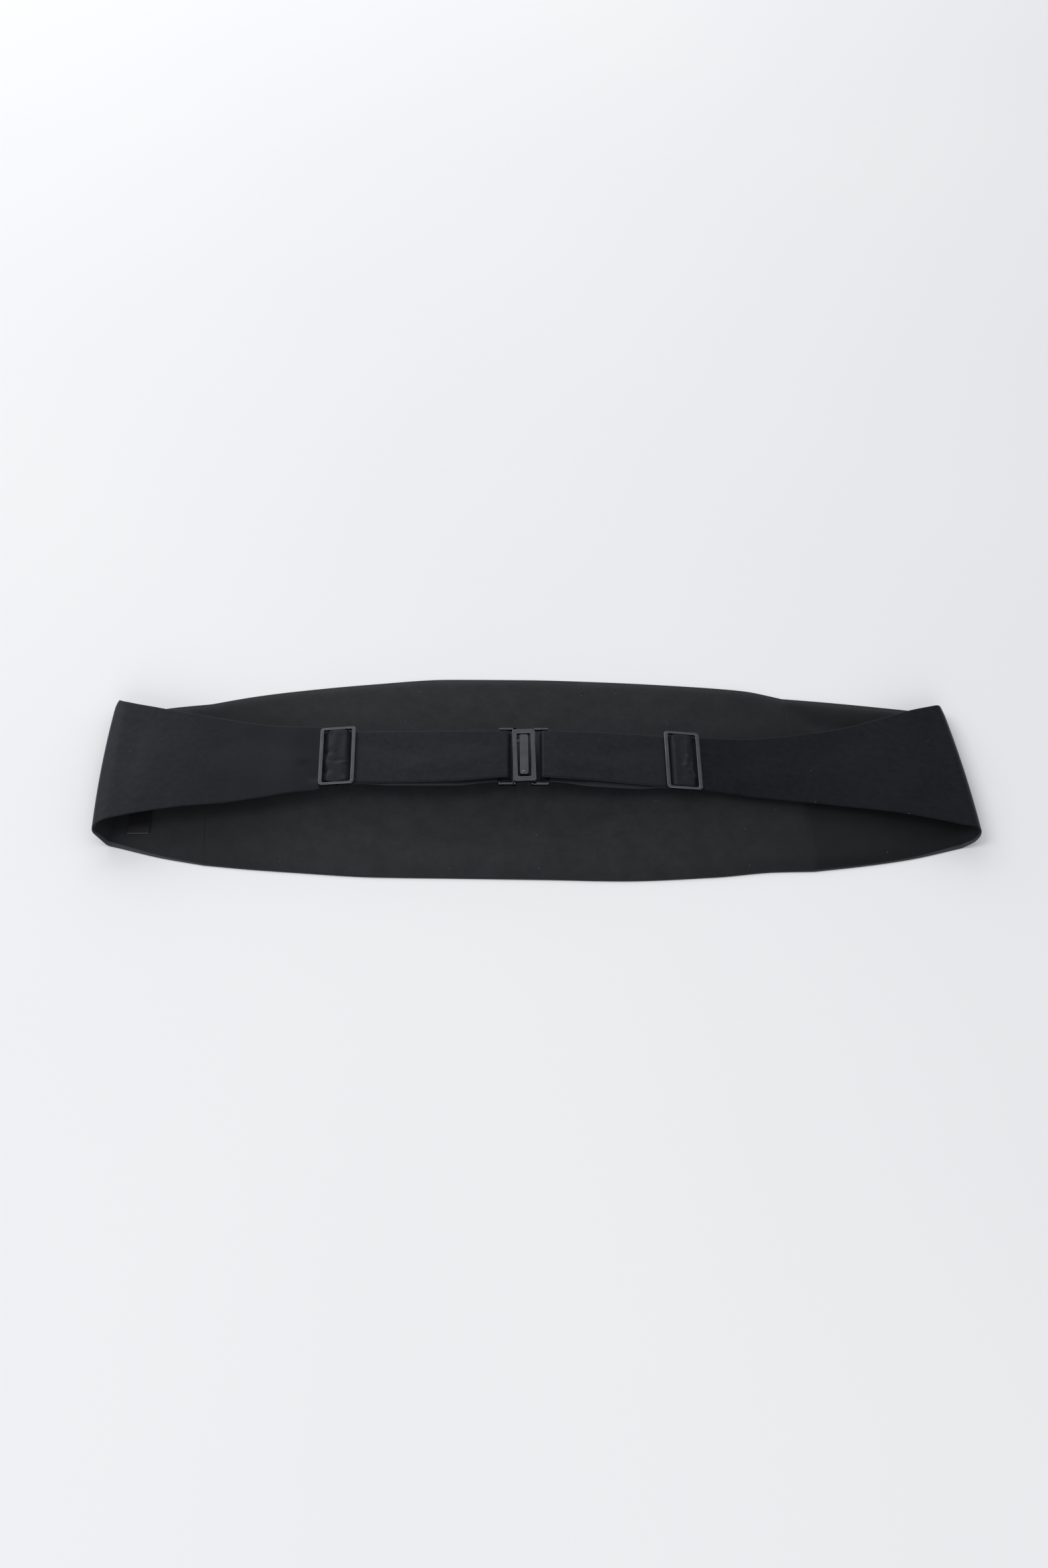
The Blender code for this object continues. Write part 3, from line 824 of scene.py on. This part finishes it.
def point_faces_out(cloth, vertex, station, section):
    """Turns the faces over if the face side's normal doesn't point away from the lips."""
    away = section[len(section) // 2][2] - section[0][2]
    out = station[2] * math.copysign(1.0, away)
    if vertex.normal.x * out.x + vertex.normal.z * out.y < 0:
        bmesh.ops.reverse_faces(cloth, faces=cloth.faces)


def compare(item, node):
    """Prints how far a piece reaches past its node's box, in millimetres."""
    bpy.context.view_layer.update()
    shaped = item.evaluated_get(bpy.context.evaluated_depsgraph_get())
    corners = [Vector(corner) for corner in shaped.bound_box]
    low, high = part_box(node)
    under = [round((low[k] - min(c[k] for c in corners)) / MM, 2) for k in range(3)]
    over = [round((max(c[k] for c in corners) - high[k]) / MM, 2) for k in range(3)]
    print(item.name, "past its box: below", under, "above", over, "mm")


def dress(item, node):
    """Puts a finished piece in the place of its solid."""
    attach(item, "root")
    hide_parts(node)
    compare(item, node)


# %% [markdown]
# The front panel comes first: the satin lies face down on the table, and the lining
# covers it up to a narrow satin rim. The satin's lip is the usual seam allowance of a
# sash edge; the lining's own lip is a little narrower.

# %% Front panel
SATIN = 1.2
GAP = 0.3
LINING = 1.0
LINING_BACK = SATIN + GAP
LINING_FACE = LINING_BACK + LINING
SATIN_LIP = 9.0
LINING_LIP = 5.0
STEP_ALONG = 2.6
FINE_TURN = 9.0
END_ROUND = 0.15
COLUMNS = 34

satin_section = turned_section(0.0, SATIN, SATIN_LIP, COLUMNS)
lining_section = turned_section(LINING_FACE, LINING_BACK, LINING_LIP, COLUMNS)

panel_line = stations(FRONT_PANEL, -1, STEP_ALONG, FINE_TURN, END_ROUND)
panel_satin, flat, area = sweep("panel_satin", panel_line, satin_section, satin)
dress(panel_satin, "front_shell")

panel_lining, flat, area = sweep(
    "panel_lining", panel_line, lining_section, panel_twill, 1.0, (PANEL_CREASES, ()), 1.0
)
dress(panel_lining, "front_lining")

# %% [markdown]
# Each slide lies on its own small slope, so points near it are easier to give in the
# slide's own section: u along its width and w up. One function turns them to X and Z.

# %% Where the slides lie
SLIDE_LONG = 35.4
SLIDE_WIDE = 17.5
SLIDE_THICK = 1.6
SLIDE_SIDE_BAR = 2.1
SLIDE_CORNER = 1.8
CENTRE_BAR_WIDE = 2.2
CENTRE_BAR_LOW = -2.0
CENTRE_BAR_HIGH = -0.7
BAR_AT = SLIDE_WIDE / 2 - SLIDE_SIDE_BAR / 2  # the middle of a long bar
UNDER_BAR = -SLIDE_THICK / 2 - GAP

SLIDES = {
    #           x,     z,  tilt, turn
    "left": (-96.7, 15.55, -3.6, 1.8),
    "right": (71.7, 11.85, 6.2, 0.0),
}


def slide_point(side, u, w):
    """A point of a slide's own section, u along its width and w up, in X and Z."""
    x, z, tilt, _ = SLIDES[side]
    slope = math.radians(-tilt)
    return (
        x + u * math.cos(slope) - w * math.sin(slope),
        z + u * math.sin(slope) + w * math.cos(slope),
    )


def slide_lean(side):
    """The lean of a band's end that lies along the turned slide."""
    return -math.tan(math.radians(SLIDES[side][3]))


print("Left slide's middle:", slide_point("left", 0.0, 0.0))

# %% [markdown]
# A wing starts at the panel's seam, runs out flat, rolls up and over in a small open
# loop and comes back on top, tapering to its slide. The satin is outside all the way, so
# it faces the table first and the viewer after the fold. The last two rows lead the wing
# in under the slide's long bar, where the strap takes over.

# %% Wings
END_RUN = 1.5
END_TAPER = 0.9
END_RIM = 0.6
END_BEND = 12.0
WINGS = {
    # rows, inner side, satin, lining, creases of the lower and of the upper layer
    "left": (
        LEFT_WING, 1, left_satin, left_twill, LEFT_FLOOR_CREASES, LEFT_TOP_CREASES
    ),
    "right": (
        RIGHT_WING, -1, right_satin, right_twill, RIGHT_FLOOR_CREASES, RIGHT_TOP_CREASES
    ),
}
CORNER_PULLS = {
    # The fold's far corner is drawn in round: x, y, reach in x and y, move in x and y.
    "left": ((-212.6, 40.5, 6.0, 3.0, 1.1, -0.1),),
    "right": ((210.8, 37.5, 6.0, 3.0, -1.3, -0.4),),
}


def make_wing(side):
    rows, inner_side, face_cloth, twill, floor_creases, top_creases = WINGS[side]
    sign = -1 if side == "left" else 1
    lean = slide_lean(side)
    enter = slide_point(side, sign * (SLIDE_WIDE / 2 + END_RUN), UNDER_BAR)
    stop = slide_point(side, sign * (BAR_AT + GAP / 2), UNDER_BAR)
    wide = rows[-1][4] - END_TAPER / 2
    narrow = wide - END_TAPER
    rows = rows + (
        (*enter, END_BEND, -wide, wide, lean, 0.0, END_RIM),
        (*stop, 0.0, -narrow, narrow, lean, 0.0, END_RIM),
    )
    line = stations(rows, inner_side, STEP_ALONG, FINE_TURN, END_ROUND)
    creases = (floor_creases, top_creases)
    pulls = CORNER_PULLS[side]
    outer, flat, area = sweep(
        side + "_wing_satin", line, satin_section, face_cloth, 0.0, creases, pulls=pulls
    )
    dress(outer, "wing_shell_" + side)
    inner, flat, area = sweep(
        side + "_wing_lining", line, lining_section, twill, 1.0, creases, 1.0, pulls
    )
    dress(inner, "wing_lining_" + side)


make_wing("left")
make_wing("right")

# %% [markdown]
# A strap is a strip of satin folded to a flat tube 32 mm wide, its two edges turned in
# towards the middle of the hidden side. It rises over the slide's centre bar, runs to the
# clasp, turns round the clasp's outer bar and comes back beneath. Where the slide grips
# it the cloth puckers, so small creases and pulls are placed there.

# %% Straps
TAPE = 1.2
STRAP_HALF = 15.8
STRAP_IN_WINDOW = 15.6
CROWN_HALF = 4.2
CROWN_BEND = 1.6
BAR_BEND = 0.9
BAR_LANDING = 1.3
STRAP_LEAVES = 2.6
FREE_BEND = 12.0
UPPER_BEND = 80.0
LOWER_BEND = 60.0
TURN_ROUND_BAR = 2.35
TURN_LEFT = -15.9
TURN_RIGHT = 5.35
TURN_MIDDLE = 14.1
TURN_RUN = 5.0
BY_TURN_BEND = 20.0
TURN_BEND = 1.6  # the upper corner of the turn
TURN_SAG = 2.0  # the turn hangs this much further in beneath the clasp's bar
TURN_SAG_BEND = 1.3
NEAR_AT_TURN = -13.4
NEAR_BY_TURN = -13.9
FAR_AT_TURN = 15.4

STRAP_RUNS = {
    #            x,    z,   near,  far, on the upper run and then the lower
    "left": (
        ((-68.0, 15.2, -15.9, 15.9), (-42.0, 15.8, -15.6, 15.8)),
        ((-42.0, 13.0, -17.0, 15.5), (-68.0, 13.0, -16.9, 15.6)),
    ),
    "right": (
        ((50.0, 13.1, -15.5, 15.8), (28.0, 15.0, -14.4, 15.6)),
        ((28.0, 12.1, -16.8, 15.4), (48.0, 10.7, -17.2, 15.6)),
    ),
}
LEFT_STRAP_CREASES = (
    #  x0,   y0,    x1,   y1, width, height
    (-102.6, 2.6, -100.8, 2.2, 1.5, -0.6),
    (-102.8, -8.8, -101.0, -9.4, 1.6, -0.6),
    (-101.4, 9.0, -100.9, 12.5, 1.6, -0.3),
    (-98.4, 13.5, -98.8, 3.0, 1.2, 0.22),
    (-95.2, 12.0, -95.8, -2.0, 1.3, -0.25),
    (-97.0, -3.6, -92.8, -3.0, 1.1, -0.30),
    (-99.0, -5.0, -97.6, -12.5, 1.3, 0.25),
    (-92.6, -6.0, -92.0, -12.0, 1.2, -0.45),
    (-84.0, 8.0, -62.0, 3.0, 6.0, -0.25),
    (-58.0, -7.0, -34.0, -4.0, 6.0, 0.22),
    (-40.0, 9.0, -24.0, 7.0, 5.0, -0.20),
)
RIGHT_STRAP_CREASES = (
    (74.6, 11.5, 74.2, 1.9, 0.9, 0.40),
    (74.2, 1.9, 72.9, -3.6, 0.9, 0.45),
    (72.9, -3.6, 74.6, -6.6, 0.9, 0.45),
    (74.6, -6.6, 76.4, -10.3, 0.9, 0.35),
    (76.4, 13.0, 75.8, -1.0, 1.0, -0.80),
    (70.4, 12.0, 71.2, -10.0, 1.6, -0.22),
    (68.4, 8.0, 68.8, -11.0, 1.3, 0.18),
    (56.0, 6.0, 38.0, 3.0, 6.0, -0.25),
    (34.0, -6.0, 14.0, -3.0, 5.0, 0.20),
)
STRAPS = {
    #        inner side, creases, pulls as x, y, reach in x and y, move in x and y
    "left": (
        1,
        LEFT_STRAP_CREASES,
        (
            (-96.6, -15.6, 2.6, 2.4, 0.2, -1.1),
            (-96.6, 15.6, 4.0, 2.4, 0.0, 0.5),
            (-101.2, -3.4, 2.2, 2.8, -0.7, 0.0),
            (-101.0, -13.0, 2.0, 1.8, -0.5, 0.0),
        ),
    ),
    "right": (
        -1,
        RIGHT_STRAP_CREASES,
        (
            (71.4, -15.6, 4.2, 2.4, 0.0, -0.5),
            (71.4, 15.6, 3.4, 2.4, 0.0, 0.5),
            (76.4, -9.5, 2.0, 2.6, 0.6, 0.0),
        ),
    ),
}


def strap_rows(side):
    """The strap's outer face from the slide to the clasp, and back beneath."""
    sign = 1 if side == "left" else -1
    turn_x = TURN_LEFT if side == "left" else TURN_RIGHT
    lean = slide_lean(side)
    crown = CENTRE_BAR_HIGH + GAP + TAPE
    below = UNDER_BAR - TAPE - GAP - TAPE
    below_centre = CENTRE_BAR_LOW - GAP - TAPE

    def at_slide(u, w, bend, half=STRAP_IN_WINDOW):
        x, z = slide_point(side, sign * u, w)
        return (x, z, bend, -half, half, lean, 0.0, 0.0)

    def free_run(run, bend):
        return [(x, z, bend, near, far, 0.0, 0.0, 0.0) for x, z, near, far in run]

    upper, lower = STRAP_RUNS[side]
    high = TURN_MIDDLE + TURN_ROUND_BAR
    low = TURN_MIDDLE - TURN_ROUND_BAR
    beside = turn_x - sign * TURN_RUN
    reach = turn_x + sign * TURN_ROUND_BAR
    by_bar = (BY_TURN_BEND, NEAR_BY_TURN, FAR_AT_TURN, 0.0, 0.0, 0.0)
    round_bar = (NEAR_AT_TURN, FAR_AT_TURN, 0.0, 0.0, 0.0)
    return (
        at_slide(-BAR_AT + GAP / 2, UNDER_BAR, 0.0),
        at_slide(-BAR_AT + BAR_LANDING, UNDER_BAR, BAR_BEND),
        at_slide(-CROWN_HALF, crown, CROWN_BEND),
        at_slide(CROWN_HALF, crown, CROWN_BEND),
        at_slide(BAR_AT - BAR_LANDING, UNDER_BAR, BAR_BEND),
        at_slide(BAR_AT + STRAP_LEAVES, UNDER_BAR, FREE_BEND, STRAP_HALF),
        *free_run(upper, UPPER_BEND),
        (beside, high, *by_bar),
        (reach, high, TURN_BEND, *round_bar),
        (reach + sign * TURN_SAG, low, TURN_SAG_BEND, *round_bar),
        (beside, low, *by_bar),
        *free_run(lower, LOWER_BEND),
        at_slide(BAR_AT + STRAP_LEAVES, below, FREE_BEND),
        at_slide(BAR_AT - BAR_LANDING, below, FREE_BEND),
        at_slide(-CENTRE_BAR_WIDE, below_centre, 0.0),
    )


STRAP_LIP = 12.6  # the strip's two edges stop 6 mm apart on the hidden side
STRAP_COLUMNS = 39
STRAP_STEP = 1.0
STRAP_FINE_TURN = 10.0
STRAP_PRESSED = (1.0, 0.18)
strap_section = turned_section(0.0, TAPE, STRAP_LIP, STRAP_COLUMNS)


def make_strap(side):
    inner_side, creases, pulls = STRAPS[side]
    line = stations(strap_rows(side), inner_side, STRAP_STEP, STRAP_FINE_TURN, END_ROUND)
    strap, flat, area = sweep(
        side + "_strap_satin",
        line,
        strap_section,
        strap_satin,
        creases=((), creases),
        pulls=pulls,
        pressed=STRAP_PRESSED,
    )
    dress(strap, "strap_" + side)


make_strap("left")
make_strap("right")

# %% [markdown]
# The metal pieces are flat castings with holes. An operator makes each outline: a quad
# whose four corners are bevelled round. Two outlines, one inside the other, are bridged
# to a flat ring, and the ring is extruded to its thickness. A Bevel modifier then rounds
# the rims, which is what makes cast metal catch the light along its edges.

# %% Tools for cast metal
CORNER_STEPS = 5
RIM_STEPS = 3
RIM_ANGLE = 40.0  # edges sharper than this are rims
BEAD_STEPS = {"u_segments": 14, "v_segments": 9}


def outline(metal, x_span, y_span, z, corner):
    """The edges of a flat rectangle with round corners."""
    old_edges = set(metal.edges)
    old_faces = set(metal.faces)
    quad = bmesh.ops.create_grid(metal, x_segments=1, y_segments=1, size=0.5 * MM)["verts"]
    size = (x_span[1] - x_span[0], y_span[1] - y_span[0], 1.0)
    middle = Vector((sum(x_span) / 2, sum(y_span) / 2, z)) * MM
    bmesh.ops.scale(metal, vec=size, verts=quad)
    bmesh.ops.translate(metal, vec=middle, verts=quad)
    bmesh.ops.bevel(
        metal,
        geom=quad,
        offset=corner * MM,
        segments=CORNER_STEPS,
        profile=0.5,
        affect="VERTICES",
        material=-1,
    )
    faces = [face for face in metal.faces if face not in old_faces]
    edges = [edge for edge in metal.edges if edge not in old_edges]
    return edges, faces


def raise_faces(metal, faces, height):
    """Extrudes flat faces upwards to a closed block."""
    grown = bmesh.ops.extrude_face_region(metal, geom=faces)["geom"]
    moved = [part for part in grown if isinstance(part, bmesh.types.BMVert)]
    bmesh.ops.translate(metal, vec=(0.0, 0.0, height * MM), verts=moved)


def cast_block(metal, x_span, y_span, z_span, corner):
    _, faces = outline(metal, x_span, y_span, z_span[0], corner)
    raise_faces(metal, faces, z_span[1] - z_span[0])


def cast_ring(metal, x_span, y_span, z_span, side_bar, end_bar, corner, inner_corner):
    outer_edges, outer_faces = outline(metal, x_span, y_span, z_span[0], corner)
    window_x = (x_span[0] + side_bar, x_span[1] - side_bar)
    window_y = (y_span[0] + end_bar, y_span[1] - end_bar)
    inner_edges, inner_faces = outline(metal, window_x, window_y, z_span[0], inner_corner)
    bmesh.ops.delete(metal, geom=outer_faces + inner_faces, context="FACES_ONLY")
    ring = bmesh.ops.bridge_loops(metal, edges=outer_edges + inner_edges)["faces"]
    raise_faces(metal, ring, z_span[1] - z_span[0])


def cast_bead(metal, place, radius, squash=1.0):
    """A small round head, flattened by squash."""
    seat = Matrix.Translation(Vector(place) * MM) @ Matrix.Diagonal((1.0, 1.0, squash, 1.0))
    bmesh.ops.create_uvsphere(metal, radius=radius * MM, matrix=seat, **BEAD_STEPS)


def finish_metal(name, metal, place, rim):
    """Makes the casting an object, its place in its mesh, its rims rounded."""
    bmesh.ops.transform(metal, matrix=place, verts=metal.verts)
    bmesh.ops.recalc_face_normals(metal, faces=metal.faces)
    item = make_object(name, metal, gunmetal)
    item.data.shade_smooth()
    edges = item.modifiers.new("rounded rims", "BEVEL")
    edges.width = rim * MM
    edges.segments = RIM_STEPS
    edges.limit_method = "ANGLE"
    edges.angle_limit = math.radians(RIM_ANGLE)
    edges.harden_normals = True
    return item


# %% [markdown]
# An adjuster slide is a flat frame with a separate centre bar pinned through it. The
# pins' heads show as small beads in the frame's corners, and the bar hides under the
# strap. The frame's rims are rounded by a little less than 0.4 mm.

# %% Slides
RIM = 0.38
FRAME_SIDE_BAR = 1.95  # the casting is finer than the plain solid
FRAME_END_BAR = 1.35
CENTRE_BAR_IN = 0.4  # the centre bar ends this far inside the frame's outer edge
CENTRE_BAR_CORNER = 0.44
PIN_HEAD = 0.55
PIN_HEAD_FLAT = 0.6
PIN_IN = 1.3  # from the frame's end to a pin's head
PINS = {
    #        u,  v as a share of the frame's half length
    "left": ((-5.6, 1.0), (5.4, 1.0), (7.7, -1.0)),
    "right": ((-7.4, -1.0), (7.4, -1.0)),
}


def make_slide(side):
    x, z, tilt, turn = SLIDES[side]
    wide = SLIDE_WIDE / 2
    long = SLIDE_LONG / 2
    thick = SLIDE_THICK / 2
    metal = bmesh.new()
    span = ((-wide, wide), (-long, long), (-thick, thick))
    cast_ring(metal, *span, FRAME_SIDE_BAR, FRAME_END_BAR, SLIDE_CORNER, SLIDE_CORNER / 2)
    bar_x = (-CENTRE_BAR_WIDE / 2, CENTRE_BAR_WIDE / 2)
    bar_y = (-long + CENTRE_BAR_IN, long - CENTRE_BAR_IN)
    cast_block(metal, bar_x, bar_y, (CENTRE_BAR_LOW, CENTRE_BAR_HIGH), CENTRE_BAR_CORNER)
    for u, end in PINS[side]:
        cast_bead(metal, (u, end * (long - PIN_IN), thick), PIN_HEAD, PIN_HEAD_FLAT)
    place = Matrix.Translation(Vector((x, 0.0, z)) * MM)
    place = place @ Matrix.Rotation(math.radians(turn), 4, "Z")
    place = place @ Matrix.Rotation(math.radians(tilt), 4, "Y")
    slide = finish_metal(side + "_adjuster_slide", metal, place, RIM)
    dress(slide, "slide_" + side)


make_slide("left")
make_slide("right")

# %% [markdown]
# The clasp has two halves. Each begins with a loop for its strap. The hook's half
# carries a raised tongue, joined to the loop by a low shelf at the tongue's far end. The
# eye's half carries a ring that drops over the tongue. The ring sits a degree or two
# askew, as a fastened clasp does.

# %% Clasp
HOOK_X = (-18.2, -9.7)
EYE_X = (-2.4, 6.1)
LOOP_Y = (-16.9, 18.35)
LOOP_Z = (13.35, 14.85)
LOOP_BAR = 1.6
LOOP_END_BAR = 1.05
LOOP_CORNER = 0.4
LOOP_RIM = 0.4
PIN_BAR = 0.8
PIN_HIGH = 14.1
PIN_CORNER = 0.2
PIN_END_IN = 0.3  # the pin's ends stop this far inside the loop's
BEAD = 0.62
# Each block reaches from and to along x, y and z, and has its corners' radius.
SHELF = ((-10.5, -3.8), (9.6, 12.9), (13.55, 14.4), 0.6)
TONGUE = ((-7.9, -3.8), (-11.8, 12.9), (13.85, 16.45), 0.9)
RIDGE = ((-4.35, -3.95), (-11.2, 12.3), (14.15, 16.67), 0.15)
RISER = ((-2.35, -0.4), (-15.25, 15.25), (13.65, 16.35), 0.5)
# The ring has its side and end bars' widths and two corners' radii besides.
RING = ((-11.3, -0.3), (-16.05, 16.05), (15.15, 16.75), 2.15, 2.6, 1.0, 1.0)
STUD = ((-6.15, -10.6, 16.45), 1.0, 0.12)  # on the tongue: place, radius and flatness
TONGUE_ASKEW = 0.8
RING_ASKEW = 1.6


def cast_loop(metal, x_span, outer):
    """A loop of four bars; the outer one, inside the strap's turn, is a lower pin."""
    inner = sum(x_span) - outer
    bar = sorted((inner, inner + math.copysign(LOOP_BAR, outer - inner)))
    cast_block(metal, bar, LOOP_Y, LOOP_Z, LOOP_CORNER)
    near, far = LOOP_Y
    for end in (near, far - LOOP_END_BAR):
        cast_block(metal, x_span, (end, end + LOOP_END_BAR), LOOP_Z, LOOP_CORNER)
    pin = sorted((outer, outer + math.copysign(PIN_BAR, inner - outer)))
    pin_ends = (near + PIN_END_IN, far - PIN_END_IN)
    cast_block(metal, pin, pin_ends, (LOOP_Z[0], PIN_HIGH), PIN_CORNER)
    for x in (x_span[0] + BEAD, x_span[1] - BEAD):
        cast_bead(metal, (x, near + LOOP_END_BAR / 2, LOOP_Z[1] - BEAD / 2), BEAD)


def set_askew(metal, before, x_span, degrees):
    """Turns what was cast since before about the upright line through its middle."""
    newer = [vertex for vertex in metal.verts if vertex not in before]
    middle = Vector((sum(x_span) / 2, 0.0, 0.0)) * MM
    askew = Matrix.Rotation(math.radians(degrees), 3, "Z")
    bmesh.ops.rotate(metal, cent=middle, matrix=askew, verts=newer)


def make_hook():
    metal = bmesh.new()
    cast_loop(metal, HOOK_X, HOOK_X[0])
    cast_block(metal, *SHELF)
    before = set(metal.verts)
    cast_block(metal, *TONGUE)
    cast_block(metal, *RIDGE)
    cast_bead(metal, *STUD)
    set_askew(metal, before, TONGUE[0], TONGUE_ASKEW)
    hook = finish_metal("clasp_hook_half", metal, Matrix.Identity(4), LOOP_RIM)
    dress(hook, "clasp_hook")


def make_eye():
    metal = bmesh.new()
    cast_loop(metal, EYE_X, EYE_X[1])
    cast_block(metal, *RISER)
    before = set(metal.verts)
    cast_ring(metal, *RING)
    set_askew(metal, before, RING[0], RING_ASKEW)
    eye = finish_metal("clasp_eye_half", metal, Matrix.Identity(4), LOOP_RIM)
    dress(eye, "clasp_eye")


make_hook()
make_eye()

# %% [markdown]
# The label is a short piece of woven ribbon, left blank here. It is turned under at both
# ends, and its near fold carries a painted highlight, a pale line. The stitches that hold
# such a label are too fine to show, so there are none here.

# %% Label
LABEL_ROWS = (
    # x,     z, bend,  near,   far, lean, bow, rim
    (-185.4, 2.8, 0.0, -37.7, -12.0, 0.0, 0.0, 0.0),
    (-195.6, 2.8, 0.0, -37.7, -12.0, 0.0, 0.0, 0.0),
)
LABEL_THICK = 0.8
LABEL_LIP = 3.0
LABEL_COLUMNS = 20
LABEL_STEP = 1.0
LABEL_END_ROUND = 0.3
LABEL_SHADES = ("#141418", "#19191e", "#303036")  # dark, light, lint
LABEL_FOLD_HIGHLIGHT = ("Y", "#404046", LABEL_LIP + 0.3, LABEL_LIP + 0.7, 1.0)  # a painted highlight along the near fold, as for the satin
LABEL_THREADS = (0.8, 0.5, 0.04, 0.4)


def make_ribbon():
    """Woven polyester ribbon: dense, dull black."""
    values = {"Roughness": 0.6, "Specular IOR Level": 0.25}
    material, tree, shader, place = new_cloth(
        "black_woven_ribbon", values, PATCH, LABEL_SHADES, (LABEL_FOLD_HIGHLIGHT,)
    )
    tree.links.new(streaks(tree, place, *LABEL_THREADS), shader.inputs["Normal"])
    return material


label_line = stations(LABEL_ROWS, 1, LABEL_STEP, FINE_TURN, LABEL_END_ROUND)
label_section = turned_section(LABEL_THICK, 0.0, LABEL_LIP, LABEL_COLUMNS)
label, flat, area = sweep("blank_label", label_line, label_section, make_ribbon())
dress(label, "label")
